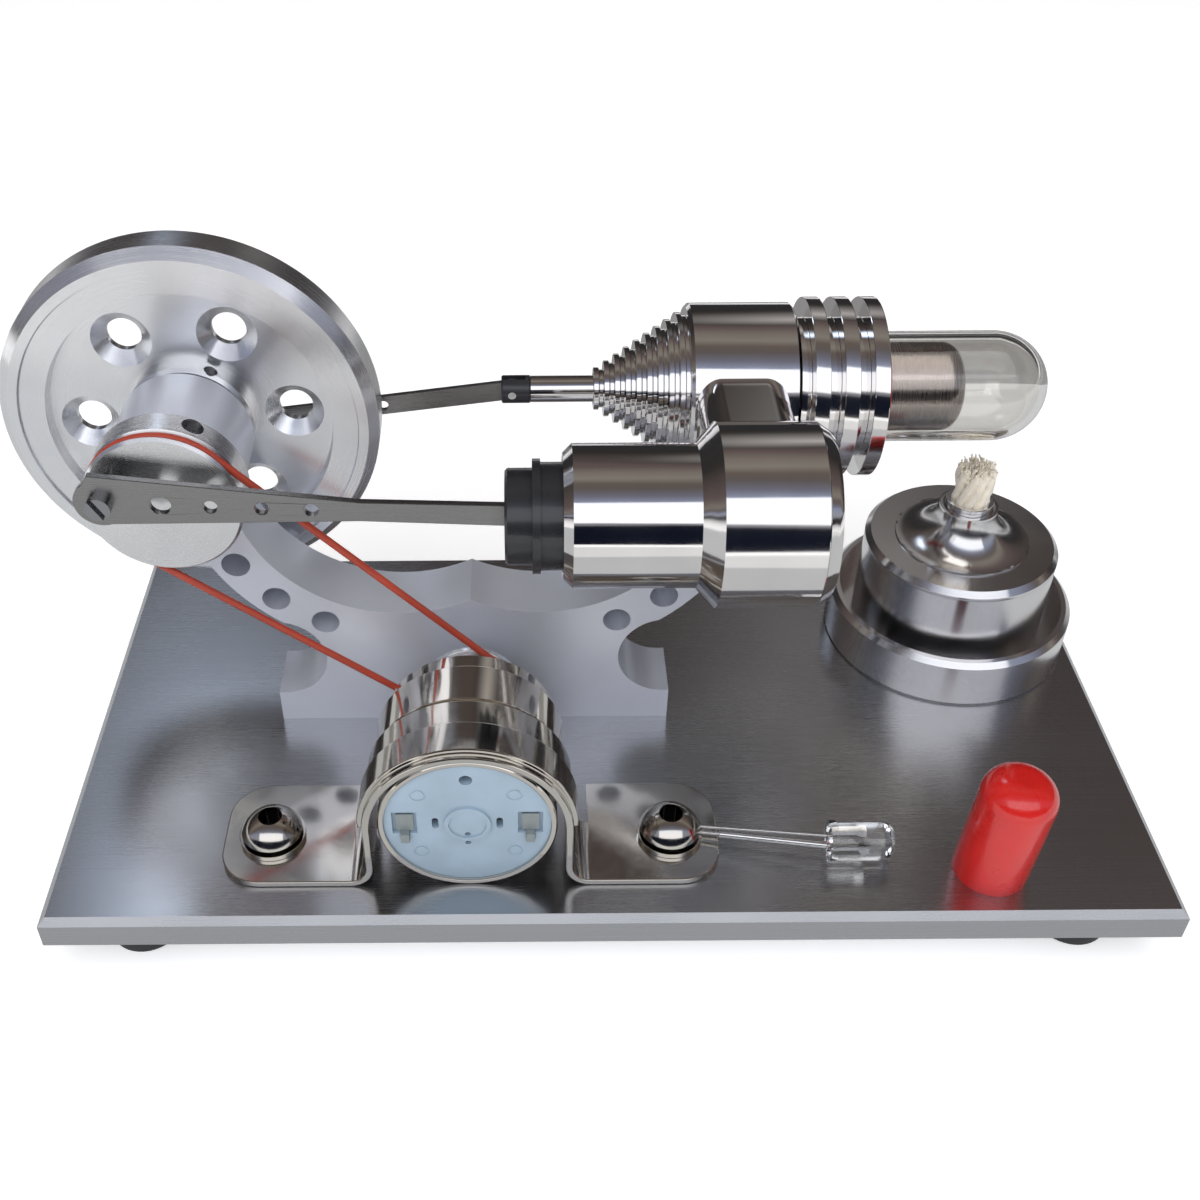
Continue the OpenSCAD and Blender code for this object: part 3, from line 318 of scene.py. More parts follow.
@dataclass(frozen=True)
class SocketHeads(TurnedMetal):
    """Two bright button heads, side by side along X, whose sockets are painted dark: painted shade
    inside the recesses.
    """

    spacing: float = 57.7
    socket: float = 1.75
    socket_edge: float = 0.05
    # painted shade: the near-black colour put inside each socket
    socket_painted_shade: Colour = (0.03, 0.028, 0.026)

    def _dress(self, g: Graph, centre: Vector, fine: bpy.types.NodeSocket,
               handling: bpy.types.NodeSocket) -> None:
        """Paints shade into the sockets over the plain turned finish.

        Args:
            g: the material's tree.
            centre: the point midway between the heads.
            fine: the ring noise.
            handling: the smudge noise.
        """
        super()._dress(g, centre, fine, handling)
        # painted shade: a dark disc of socket radius round each head's centre, mixed over the
        # metal's colour
        split = g.add("ShaderNodeSeparateXYZ")
        g.join(g.place(centre), split, 0)
        side = g.sums("SUBTRACT", g.sums("ABSOLUTE", split.outputs[0]), self.spacing / 2 * MM)
        square = g.sums("ADD", g.sums("MULTIPLY", side, side),
                        g.sums("MULTIPLY", split.outputs[1], split.outputs[1]))
        outside = g.span(g.sums("SQRT", square), 0.0, 1.0,
                         (self.socket - self.socket_edge) * MM, self.socket * MM)
        metal = g.shader.inputs["Base Color"].links[0].from_socket
        mix = g.add("ShaderNodeMix", data_type="RGBA")
        mix.inputs[6].default_value = (*self.socket_painted_shade, 1.0)
        g.join(metal, mix, 7)
        g.join(outside, mix, 0)
        g.join(mix.outputs[2], g.shader, "Base Color")


@dataclass(frozen=True)
class BrushedMetal:
    """Metal with straight brush lines along one axis."""

    name: str
    colour: Colour = (0.6, 0.61, 0.63)
    roughness: float = 0.22
    along: Axis = Axis.X
    line_pitch: float = 0.15
    line_length: float = 12.0
    depth: float = 0.0012
    smudge: float = 0.08
    anisotropy: float = 0.0

    def build(self, centre: Vector, axis: Axis = Axis.Z) -> bpy.types.Material:
        """Makes the material.

        Args:
            centre: the pattern's zero.
            axis: not used by brushed metal.

        Returns:
            The material.
        """
        g = Graph(self.name)
        scale = [1 / (self.line_pitch * MM)] * 3
        scale[self.along.value] = 1 / (self.line_length * MM)
        lines = g.noise(g.place(centre, tuple(scale)), 1.0, 3.0)
        cloud = g.noise(g.place(centre), 45.0, 5.0)
        dark = tuple(c * 0.93 for c in self.colour)
        g.set(Metallic=1.0)
        g.join(g.tint(g.span(lines, 0.0, 1.0), dark, self.colour), g.shader, "Base Color")
        rough = g.sums("ADD", g.span(lines, self.roughness * 0.92, self.roughness * 1.08),
                       g.span(cloud, 0.0, self.smudge))
        g.join(rough, g.shader, "Roughness")
        g.bump(lines, self.depth * MM)
        if self.anisotropy:
            g.set(Anisotropic=self.anisotropy)
            tangent = g.add("ShaderNodeCombineXYZ")
            for i in range(3):
                tangent.inputs[i].default_value = 0.0 if i == self.along.value else 1.0
            g.join(tangent.outputs[0], g.shader, "Tangent")
        return g.material


@dataclass(frozen=True)
class BlastedMetal:
    """Aluminium with the fine even grain of bead blasting."""

    name: str
    colour: Colour = (0.76, 0.79, 0.87)
    roughness: float = 0.38
    grain: float = 0.22
    depth: float = 0.012

    def build(self, centre: Vector, axis: Axis = Axis.Z) -> bpy.types.Material:
        """Makes the material.

        Args:
            centre: the pattern's zero.
            axis: not used by blasted metal.

        Returns:
            The material.
        """
        g = Graph(self.name)
        place = g.place(centre)
        grain = g.noise(place, 1 / (self.grain * MM), 3.0)
        cloud = g.noise(place, 60.0, 3.0)
        dark = tuple(c * 0.9 for c in self.colour)
        g.set(Metallic=0.6)
        g.join(g.tint(g.span(cloud, 0.0, 1.0), dark, self.colour), g.shader, "Base Color")
        g.join(g.span(grain, self.roughness - 0.05, self.roughness + 0.05), g.shader, "Roughness")
        g.bump(grain, self.depth * MM, 0.8)
        return g.material


@dataclass(frozen=True)
class Moulded:
    """Rubber, vinyl, plastic or paint: a coloured body with a fine surface."""

    name: str
    colour: Colour
    roughness: float = 0.5
    grain: float = 0.3
    depth: float = 0.01
    coat: float = 0.0
    shade: float = 0.85
    soft: float = 0.0
    metallic: float = 0.0

    def build(self, centre: Vector, axis: Axis = Axis.Z) -> bpy.types.Material:
        """Makes the material.

        Args:
            centre: the pattern's zero.
            axis: not used by moulded pieces.

        Returns:
            The material.
        """
        g = Graph(self.name)
        place = g.place(centre)
        grain = g.noise(place, 1 / (self.grain * MM), 3.0)
        cloud = g.noise(place, 150.0, 4.0)
        dark = tuple(c * self.shade for c in self.colour)
        g.join(g.tint(g.span(cloud, 0.0, 1.0), dark, self.colour), g.shader, "Base Color")
        g.join(g.span(cloud, self.roughness * 0.85, self.roughness * 1.15), g.shader, "Roughness")
        g.set(Metallic=self.metallic, Coat_Weight=self.coat, Coat_Roughness=0.08)
        if self.soft:
            g.set(Subsurface_Weight=self.soft, Subsurface_Scale=0.002,
                  Subsurface_Radius=(1.0, 0.25, 0.15))
        g.bump(grain, self.depth * MM, 0.6)
        return g.material


@dataclass(frozen=True)
class ClearBody:
    """Glass or clear resin, with the slight ripple of a drawn tube or a moulding."""

    name: str
    colour: Colour = (0.97, 0.99, 1.0)
    roughness: float = 0.0
    ior: float = 1.47
    ripple: float = 4.0
    depth: float = 0.004

    def build(self, centre: Vector, axis: Axis = Axis.Z) -> bpy.types.Material:
        """Makes the material.

        Args:
            centre: the pattern's zero.
            axis: not used by clear pieces.

        Returns:
            The material.
        """
        g = Graph(self.name)
        ripple = g.noise(g.place(centre), 1 / (self.ripple * MM), 2.0)
        g.set(Transmission_Weight=1.0, IOR=self.ior)
        edge = tuple(c * 0.97 for c in self.colour)
        g.join(g.tint(g.span(ripple, 0.0, 1.0), edge, self.colour), g.shader, "Base Color")
        g.join(g.span(ripple, self.roughness, self.roughness + 0.015), g.shader, "Roughness")
        g.bump(ripple, self.depth * MM, 0.5)
        return g.material


@dataclass(frozen=True)
class Cotton:
    """Undyed cotton yarn: matte, twisted and a little scorched in patches."""

    name: str
    colour: Colour = (0.86, 0.80, 0.68)
    tip: Colour = (0.80, 0.72, 0.58)
    twist: float = 0.35

    def build(self, centre: Vector, axis: Axis = Axis.Z) -> bpy.types.Material:
        """Makes the material.

        Args:
            centre: the yarn's top.
            axis: not used by cotton.

        Returns:
            The material.
        """
        g = Graph(self.name)
        pitch = 1 / (self.twist * MM)
        fibre = g.noise(g.place(centre, (pitch, pitch, pitch * 0.3)), 1.0, 4.0)
        cloud = g.noise(g.place(centre), 700.0, 3.0)
        g.join(g.tint(g.span(cloud, 0.0, 1.0), self.tip, self.colour), g.shader, "Base Color")
        g.set(Roughness=0.95, Sheen_Weight=0.5, Sheen_Roughness=0.6)
        g.bump(fibre, 0.08 * MM, 0.9)
        return g.material


ROOM = (
    (-20, (0.02, 0.02, 0.02)), (14, (0.02, 0.02, 0.022)), (26, (0.35, 0.36, 0.40)),
    (56, (0.30, 0.34, 0.46)), (66, (0.18, 0.18, 0.23)), (78, (0.13, 0.115, 0.11)),
    (87, (0.15, 0.12, 0.105)), (96, (0.26, 0.24, 0.21)), (108, (0.21, 0.18, 0.16)),
    (118, (0.13, 0.10, 0.095)), (128, (0.115, 0.09, 0.085)), (140, (0.08, 0.065, 0.06)),
    (152, (0.035, 0.032, 0.03)), (180, (0.03, 0.03, 0.034)),
)
Finish = TurnedMetal | BrushedMetal | BlastedMetal | Moulded | ClearBody | Cotton
PLATE_STEEL = BrushedMetal("plate_steel", (0.50, 0.505, 0.52), 0.24, Axis.X, 0.12, 40.0,
                           0.00025, 0.05, 0.75)
FRAME_METAL = BlastedMetal("frame_aluminium")
MIRROR_STEEL = TurnedMetal("polished_steel", (0.82, 0.80, 0.79), 0.06, 0.09, 0.00025)
FINE_TURNED = TurnedMetal("turned_steel", (0.92, 0.92, 0.93), 0.24, 0.11, 0.0003, 0.88)
WHEEL_METAL = TurnedMetal("wheel_steel", (0.96, 0.965, 0.98), 0.22, 0.10, 0.0003, 0.90)
CAN_STEEL = TurnedMetal("can_steel", (0.74, 0.70, 0.64), 0.07, 0.10, 0.0003)
NICKEL = TurnedMetal("strap_nickel", (0.66, 0.63, 0.58), 0.09, 1.5, 0.004)
SOCKET_HEADS = SocketHeads("strap_nickel", (0.66, 0.63, 0.58), 0.09, 1.5, 0.004)
BURNER_CHROME = TurnedMetal("burner_chrome", (0.80, 0.79, 0.79), 0.13, 0.12, 0.0003, 0.85)
# painted reflection: the shell's polished steel gets a dark brownish colour that stands in for the
# dark room it reflects through the glass
SHELL_STEEL_PAINTED_REFLECTION = TurnedMetal("polished_steel", (0.30, 0.265, 0.25), 0.22, 0.10, 0.0004)
ROD_STEEL = BrushedMetal("rod_steel", (0.32, 0.315, 0.31), 0.24, Axis.X, 0.12, 6.0, 0.0015)
BEARING = TurnedMetal("bearing_steel", (0.80, 0.81, 0.82), 0.10, 0.2, 0.0004)
BRONZE = TurnedMetal("gland_bronze", (0.62, 0.44, 0.22), 0.25, 0.15, 0.0008)
DARK_STEEL = TurnedMetal("dark_screw", (0.34, 0.34, 0.36), 0.20, 0.15, 0.0008)
CORE_STEEL = BrushedMetal("core_steel", (0.34, 0.34, 0.36), 0.35, Axis.X, 0.35, 4.0, 0.004)
WINDING = Moulded("winding_copper", (0.72, 0.33, 0.15), 0.25, 0.25, 0.05, 0.4, 0.7, 0.0, 0.9)
TERMINAL = BrushedMetal("terminal_brass", (0.50, 0.54, 0.54), 0.35, Axis.Z, 0.12, 3.0, 0.001)
BLACK_RUBBER = Moulded("black_rubber", (0.020, 0.020, 0.021), 0.62, 0.35, 0.02)
BLACK_PISTON = Moulded("piston_black", (0.018, 0.019, 0.022), 0.30, 0.25, 0.004, 0.3)
BLACK_FORK = Moulded("fork_black", (0.020, 0.020, 0.024), 0.32, 0.2, 0.004, 0.2)
RED_BELT = Moulded("red_rubber", (0.40, 0.055, 0.028), 0.42, 0.25, 0.01, 0.1, 0.8, 0.25)
SEAL_RED = Moulded("seal_rubber", (0.40, 0.03, 0.02), 0.5, 0.3, 0.01)
VINYL_RED = Moulded("cap_vinyl", (0.60, 0.010, 0.007), 0.30, 2.2, 0.16, 0.9, 0.9, 0.25)
CAP_PLASTIC = Moulded("cap_plastic", (0.33, 0.43, 0.52), 0.42, 0.25, 0.006)
MAGNET = Moulded("magnet_ferrite", (0.05, 0.045, 0.045), 0.6, 0.3, 0.02)
SLEEVE = BrushedMetal("sleeve_plastic", (0.84, 0.84, 0.83), 0.14, Axis.X, 0.1, 4.0, 0.001)
LEAD_WIRE = BrushedMetal("lead_wire", (0.78, 0.77, 0.75), 0.22, Axis.X, 0.1, 4.0, 0.001)
HEAT_GLASS = ClearBody("heat_glass", (1.0, 0.985, 0.955), 0.0, 1.47)
LAMP_RESIN = ClearBody("lamp_plastic", (0.98, 0.99, 1.0), 0.0, 1.52, 2.5, 0.003)
WICK_COTTON = Cotton("wick_cotton")


# ---------------------------------------------------------------- modelling helpers


def only(obj: bpy.types.Object) -> bpy.types.Object:
    """Makes one object the only selected and the active one.

    Args:
        obj: the object.

    Returns:
        The same object.
    """
    bpy.ops.object.select_all(action="DESELECT")
    bpy.context.view_layer.objects.active = obj
    obj.select_set(True)
    return obj


def settle(obj: bpy.types.Object, angle: float = 35.0) -> bpy.types.Object:
    """Moves an object's place into its mesh and smooths it by angle.

    Args:
        obj: the object.
        angle: edges sharper than this, in degrees, stay crisp.

    Returns:
        The same object.
    """
    only(obj)
    bpy.ops.object.transform_apply(location=True, rotation=True, scale=True)
    bpy.ops.object.shade_smooth_by_angle(angle=math.radians(angle))
    return obj


def finish_piece(obj: bpy.types.Object, name: str, body: Body, material: bpy.types.Material,
                 replaced: tuple[str, ...] = ()) -> bpy.types.Object:
    """Names, dresses and mounts a finished piece.

    Args:
        obj: the piece, in place.
        name: its name.
        body: the group it moves with.
        material: its finish.
        replaced: the frame's nodes that it stands for.

    Returns:
        The piece.
    """
    obj.name = name
    obj.data.name = name
    obj.data.materials.clear()
    obj.data.materials.append(material)
    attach(obj, body.value)
    if replaced:
        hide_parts(*replaced)
    LOG.info("%s: %d faces on %s", name, len(obj.data.polygons), body.value)
    return obj


def middle(node: str) -> Vector:
    """Finds the middle of a node's box.

    Args:
        node: the node's name.

    Returns:
        The middle, in metres.
    """
    low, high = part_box(node)
    return (low + high) / 2


@dataclass
class Machined:
    """A frame node carried over as a merged copy with broken edges and a finish."""

    node: str
    body: Body
    finish: Finish
    axis: Axis = Axis.Y
    edge: float = 0.0
    centre: Vector | None = None
    angle: float = 19.0

    def build(self, nodes: dict[str, bpy.types.Object]) -> bpy.types.Object:
        """Copies, merges, bevels, smooths and dresses the node.

        Args:
            nodes: the frame's nodes.

        Returns:
            The new piece.
        """
        source = nodes[self.node]
        piece = bpy.data.objects.new(self.node + "_finished", source.data.copy())
        bpy.context.scene.collection.objects.link(piece)
        only(piece)
        bpy.ops.object.mode_set(mode="EDIT")
        bpy.ops.mesh.select_all(action="SELECT")
        bpy.ops.mesh.remove_doubles(threshold=MERGE_DISTANCE)
        bpy.ops.object.mode_set(mode="OBJECT")
        if piece.data.has_custom_normals:
            bpy.ops.mesh.customdata_custom_splitnormals_clear()
        if self.edge:
            bevel = piece.modifiers.new("edge", "BEVEL")
            bevel.width = self.edge * MM
            bevel.segments = 2
            bevel.limit_method = "ANGLE"
            bevel.angle_limit = BEVEL_ANGLE
            bevel.use_clamp_overlap = True
            bpy.ops.object.modifier_apply(modifier="edge")
        bpy.ops.object.shade_smooth_by_angle(angle=math.radians(self.angle))
        if self.edge:
            weighted = piece.modifiers.new("weighted", "WEIGHTED_NORMAL")
            weighted.keep_sharp = True
            weighted.weight = FLAT_WEIGHT
            bpy.ops.object.modifier_apply(modifier="weighted")
        centre = self.centre if self.centre is not None else middle(self.node)
        material = self.finish.build(centre, self.axis)
        return finish_piece(piece, self.node + "_finished", self.body, material,
                            (self.node,))


@dataclass
class Datum:
    """Places on the engine, measured in millimetres from the plate's top front left corner."""

    corner: Vector = field(default_factory=lambda: Vector(
        (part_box("base_plate")[0].x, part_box("base_plate")[0].y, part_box("base_plate")[1].z)))

    def at(self, x: float, y: float, z: float) -> Vector:
        """Turns a place on the engine into a point in the frame.

        Args:
            x: to the right, in millimetres.
            y: to the back.
            z: up from the plate's top.

        Returns:
            The point, in metres.
        """
        return self.corner + Vector((x, y, z)) * MM


# ---------------------------------------------------------------- sub-assemblies


@dataclass
class SubAssembly:
    """A group of nodes that are dressed one after another."""

    nodes: dict[str, bpy.types.Object]

    def pieces(self) -> tuple[Machined, ...]:
        """Lists the group's dressed nodes.

        Returns:
            The pieces, in the order they are made.
        """
        raise NotImplementedError

    def build(self) -> None:
        """Makes each listed piece."""
        for item in self.pieces():
            item.build(self.nodes)


@dataclass
class BaseAndFrame(SubAssembly):
    """The base plate, its feet, the yoke frame and the block between the cylinders."""

    def pieces(self) -> tuple[Machined, ...]:
        """Lists the fixed structure.

        Returns:
            The pieces, in the order they are made.
        """
        crank = middle("crankshaft")
        base = Body.BASE
        return (
            Machined("base_plate", base, PLATE_STEEL, edge=0.15),
            Machined("rubber_feet", base, BLACK_RUBBER, Axis.Z, 0.3),
            Machined("foot_screws", base, DARK_STEEL, Axis.Z),
            Machined("engine_frame", base, FRAME_METAL, edge=0.22, centre=crank),
            Machined("frame_screws", base, DARK_STEEL, Axis.Z),
            Machined("block_screws", base, DARK_STEEL, Axis.Z),
            Machined("connecting_block", base, MIRROR_STEEL, edge=0.1),
            Machined("bearing_outer_rings", base, BEARING),
            Machined("bearing_balls", base, BEARING),
        )


@dataclass
class CrankTrain(SubAssembly):
    """The crank disc, its shaft and the flywheel, with both rods."""

    def pieces(self) -> tuple[Machined, ...]:
        """Lists everything that turns with the crank, and the rods.

        Returns:
            The pieces, in the order they are made.
        """
        crank = middle("crankshaft")
        turning = Body.CRANK
        return (
            Machined("crank_disc", turning, FINE_TURNED, Axis.Y, 0.08, crank),
            Machined("crankshaft", turning, FINE_TURNED, Axis.Y, 0.0, crank),
            Machined("crank_grub_screw", turning, DARK_STEEL),
            Machined("flywheel", turning, WHEEL_METAL, Axis.Y, 0.12, crank),
            Machined("flywheel_grub_screw", turning, DARK_STEEL),
            Machined("bearing_inner_rings", turning, BEARING, Axis.Y, 0.0, crank),
            Machined("shaft_spacers", turning, FINE_TURNED, Axis.Y, 0.0, crank),
            Machined("power_rod", Body.POWER_ROD, ROD_STEEL, edge=0.08),
            Machined("crank_screw", Body.POWER_ROD, DARK_STEEL, edge=0.1),
            Machined("crank_washer", Body.POWER_ROD, ROD_STEEL, edge=0.05),
            Machined("displacer_rod", Body.DISPLACER_ROD, ROD_STEEL, edge=0.08),
            Machined("displacer_crank_screw", Body.DISPLACER_ROD, DARK_STEEL, edge=0.1),
        )


@dataclass
class Cylinders(SubAssembly):
    """The power cylinder and piston, and the displacer cylinder with its glass tube."""

    def pieces(self) -> tuple[Machined, ...]:
        """Lists both cylinders and what slides in them.

        Returns:
            The pieces, in the order they are made.
        """
        base = Body.BASE
        return (
            Machined("power_cylinder", base, MIRROR_STEEL, Axis.X, 0.12),
            Machined("power_cylinder_head", base, MIRROR_STEEL, Axis.X, 0.12),
            Machined("displacer_cylinder", base, MIRROR_STEEL, Axis.X, 0.10),
            Machined("gland_bush", base, BRONZE, Axis.X),
            Machined("glass_tube", base, HEAT_GLASS, Axis.X, angle=40.0),
            Machined("glass_seals", base, SEAL_RED, Axis.X),
            Machined("power_piston", Body.PISTON, BLACK_PISTON, Axis.X, 0.12),
            Machined("wrist_pin", Body.PISTON, FINE_TURNED),
            Machined("displacer_shell", Body.DISPLACER, SHELL_STEEL_PAINTED_REFLECTION, Axis.X),
            Machined("displacer_plug", Body.DISPLACER, FINE_TURNED, Axis.X),
            Machined("displacer_shaft", Body.DISPLACER, MIRROR_STEEL, Axis.X),
            Machined("shaft_fork", Body.DISPLACER, BLACK_FORK, Axis.X, 0.06),
            Machined("fork_pin", Body.DISPLACER, FINE_TURNED),
        )


@dataclass
class Generator(SubAssembly):
    """The can motor used as a generator, its strap, pulley and belt."""

    def pieces(self) -> tuple[Machined, ...]:
        """Lists the generator, its strap and its belt.

        Returns:
            The pieces, in the order they are made.
        """
        base = Body.BASE
        centre = middle("motor_can")
        return (
            Machined("motor_can", base, CAN_STEEL, Axis.Y, 0.1, centre),
            Machined("motor_end_cap", base, CAP_PLASTIC, Axis.Y, 0.05, centre),
            Machined("motor_terminals", base, TERMINAL, Axis.Y, 0.04),
            Machined("motor_bearings", base, BRONZE, Axis.Y),
            Machined("motor_magnets", base, MAGNET, Axis.Y),
            Machined("motor_brushes", base, TERMINAL, Axis.Y),
            Machined("motor_strap", base, NICKEL, Axis.Y, 0.18),
            Machined("strap_screws", base, SOCKET_HEADS, Axis.Z, 0.12),
            Machined("strap_washers", base, NICKEL, Axis.Z, 0.08),
            Machined("drive_belt", base, RED_BELT, Axis.Y, angle=60.0),
            Machined("motor_core", Body.ROTOR, CORE_STEEL, Axis.Y),
            Machined("motor_windings", Body.ROTOR, WINDING, Axis.Y, 0.5),
            Machined("motor_commutator", Body.ROTOR, TERMINAL, Axis.Y),
            Machined("motor_shaft", Body.ROTOR, FINE_TURNED, Axis.Y, 0.1),
            Machined("motor_pulley", Body.ROTOR, FINE_TURNED, Axis.Y, 0.1, centre),
        )


@dataclass
class Lamp(SubAssembly):
    """The clear round lamp on its two leads, with the metal frame inside its resin."""

    post_half: float = 1.0
    post_width: float = 0.5
    post_length: float = 3.6
    cup_width: float = 1.7

    def pieces(self) -> tuple[Machined, ...]:
        """Lists the lens, the leads and their sleeve.

        Returns:
            The pieces, in the order they are made.
        """
        base = Body.BASE
        return (
            Machined("lamp_lens", base, LAMP_RESIN, Axis.X, 0.25, angle=40.0),
            Machined("lamp_leads", base, LEAD_WIRE, Axis.X),
            Machined("lead_sleeve", base, SLEEVE, Axis.X, 0.1),
        )

    def build(self) -> None:
        """Dresses the lens and leads, then builds the posts and the cup inside the lens."""
        super().build()
        low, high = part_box("lamp_lens")
        axis = Vector((low.x, (low.y + high.y) / 2, (low.z + high.z) / 2))
        parts = [self._post(axis, -1, self.cup_width), self._post(axis, 1, self.post_width * 1.6)]
        only(parts[0])
        parts[1].select_set(True)
        bpy.ops.object.join()
        posts = bpy.context.view_layer.objects.active
        finish_piece(settle(posts), "lamp_posts", Body.BASE, LEAD_WIRE.build(axis))

    def _post(self, axis: Vector, side: int, head: float) -> bpy.types.Object:
        """One post of the lamp's inner frame, with a wider head.

        Args:
            axis: the lens's centre at its flange.
            side: -1 for the front post, 1 for the rear one.
            head: the head's width in millimetres.

        Returns:
            The post.
        """
        start = axis + Vector((0.3, side * self.post_half, 0)) * MM
        bpy.ops.object.select_all(action="DESELECT")
        middle_of_post = start + Vector((self.post_length / 2, 0, 0)) * MM
        bpy.ops.mesh.primitive_cube_add(size=1, location=middle_of_post)
        post = bpy.context.object
        post.scale = Vector((self.post_length, self.post_width, self.post_width)) * MM
        bpy.ops.object.transform_apply(location=True, rotation=True, scale=True)
        bpy.ops.object.mode_set(mode="EDIT")
        bpy.ops.mesh.select_all(action="DESELECT")
        bpy.ops.object.mode_set(mode="OBJECT")
        for face in post.data.polygons:
            face.select = face.normal.x > 0.9
        bpy.ops.object.mode_set(mode="EDIT")
        grow = head / self.post_width
        bpy.ops.mesh.extrude_region_move(TRANSFORM_OT_translate={"value": (0.7 * MM, 0, 0)})
        bpy.ops.transform.resize(value=(1, grow * 0.8, grow))
        bpy.ops.mesh.extrude_region_move(TRANSFORM_OT_translate={"value": (0.8 * MM, 0, 0)})
        bpy.ops.mesh.inset(thickness=0.12 * MM)
        bpy.ops.transform.translate(value=(-0.35 * MM, 0, 0))
        bpy.ops.object.mode_set(mode="OBJECT")
        return post


@dataclass
class Burner(SubAssembly):
    """The chromed spirit burner with its cotton wick."""

    yarns: int = 13
    core_yarns: int = 4
    yarn_steps: int = 14
    yarn_radius: float = 0.86
    turns: float = 0.45
    stray_count: int = 260
    seed: int = 7

    def pieces(self) -> tuple[Machined, ...]:
        """Lists the burner's metal pieces.

        Returns:
            The pieces, in the order they are made.
        """
        centre = middle("burner_foot")
        return (
            Machined("burner_foot", Body.BURNER, BURNER_CHROME, Axis.Z, 0.12, centre),
            Machined("burner_pot", Body.BURNER, BURNER_CHROME, Axis.Z, 0.0, centre),
            Machined("burner_lid", Body.BURNER, BURNER_CHROME, Axis.Z, 0.12, centre, 40.0),
            Machined("wick_tube", Body.BURNER, BURNER_CHROME, Axis.Z, 0.1, centre),
        )

    def build(self) -> None:
        """Dresses the burner and builds its wick."""
        super().build()
        self._wick()

    def _wick(self) -> None:
        """Twists the wick from yarns whose ends fray into loose fibres."""
        low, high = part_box("wick")
        tube_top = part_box("wick_tube")[1].z
        axis = Vector(((low.x + high.x) / 2, (low.y + high.y) / 2, 0))
        chance = random.Random(self.seed)
        reach = (high.x - low.x) / 2 / MM
        strands: list[tuple[list[Vector], float]] = []
        bottom = tube_top - 6 * MM
        for k in range(self.yarns):
            outer = k < self.yarns - self.core_yarns
            ring = reach - 1.1 if outer else 0.75
            start = 2 * math.pi * k / (self.yarns - self.core_yarns if outer else self.core_yarns)
            top = high.z - chance.uniform(0.5, 1.9) * MM
            strands.append((self._yarn(axis, ring, start, bottom, top, chance), self.yarn_radius))
        for _ in range(self.stray_count):
            ring = reach * math.sqrt(chance.uniform(0.05, 0.8)) - 0.3
            start = chance.uniform(0, 2 * math.pi)
            foot = chance.uniform(tube_top + 2 * MM, high.z - 2.2 * MM)
            top = min(high.z - 0.1 * MM, foot + chance.uniform(1.5, 3.5) * MM)
            line = self._yarn(axis, max(ring, 0.2), start, foot, top, chance)
            strands.append((line, chance.uniform(0.09, 0.2)))
        curve = bpy.data.curves.new("wick_yarns", "CURVE")
        curve.dimensions = "3D"
        curve.bevel_depth = MM
        curve.bevel_resolution = 2
        curve.use_fill_caps = True
        for line, radius in strands:
            spline = curve.splines.new("POLY")
            spline.points.add(len(line) - 1)
            for i, (point, place) in enumerate(zip(spline.points, line)):
                share = i / (len(line) - 1)
                point.co = (*place, 1.0)
                taper = 1.0 - 0.3 * max(0.0, share - 0.85) / 0.15
                point.radius = radius * chance.uniform(0.88, 1.1) * taper
        wick = bpy.data.objects.new("wick_yarns", curve)
        bpy.context.scene.collection.objects.link(wick)
        only(wick)
        bpy.ops.object.convert(target="MESH")
        wick = bpy.context.object
        ruffle = wick.modifiers.new("ruffle", "DISPLACE")
        texture = bpy.data.textures.new("ruffle", "CLOUDS")
        texture.noise_scale = 0.55 * MM
        ruffle.texture = texture
        ruffle.texture_coords = "LOCAL"
        ruffle.strength = 0.42 * MM
        bpy.ops.object.modifier_apply(modifier="ruffle")
        material = WICK_COTTON.build(Vector((axis.x, axis.y, high.z)))
        finish_piece(settle(wick, 60.0), "wick_yarns", Body.BURNER, material,
                     ("wick",))

    def _yarn(self, axis: Vector, ring: float, start: float, bottom: float, top: float,
              chance: random.Random) -> list[Vector]:
        """The middle line of one yarn.

        Args:
            axis: the wick's axis.
            ring: how far from the axis the yarn lies, in millimetres.
            start: its angle at the bottom.
            bottom: its lowest height in metres.
            top: its highest height in metres.
            chance: the seeded random source.

        Returns:
            Its points.
        """
        lean = chance.uniform(-0.25, 0.25)
        line = []
        for i in range(self.yarn_steps + 1):
            share = i / self.yarn_steps
            angle = start + 2 * math.pi * self.turns * share * (top - bottom) / 0.02 + lean * share
            flare = 1.0 + 0.16 * max(0.0, share - 0.6) / 0.4
            wander = chance.uniform(-0.07, 0.07)
            r = (ring * flare + wander) * MM
            line.append(axis + Vector((r * math.cos(angle), r * math.sin(angle),
                                       bottom + (top - bottom) * share)))
        return line


@dataclass
class Snuffer(SubAssembly):
    """The red vinyl cap that puts the flame out."""

    def pieces(self) -> tuple[Machined, ...]:
        """Lists the cap.

        Returns:
            The one piece.
        """
        return (Machined("snuffer_cap", Body.SNUFFER, VINYL_RED, Axis.Z, 0.2, angle=50.0),)


# ---------------------------------------------------------------- studio


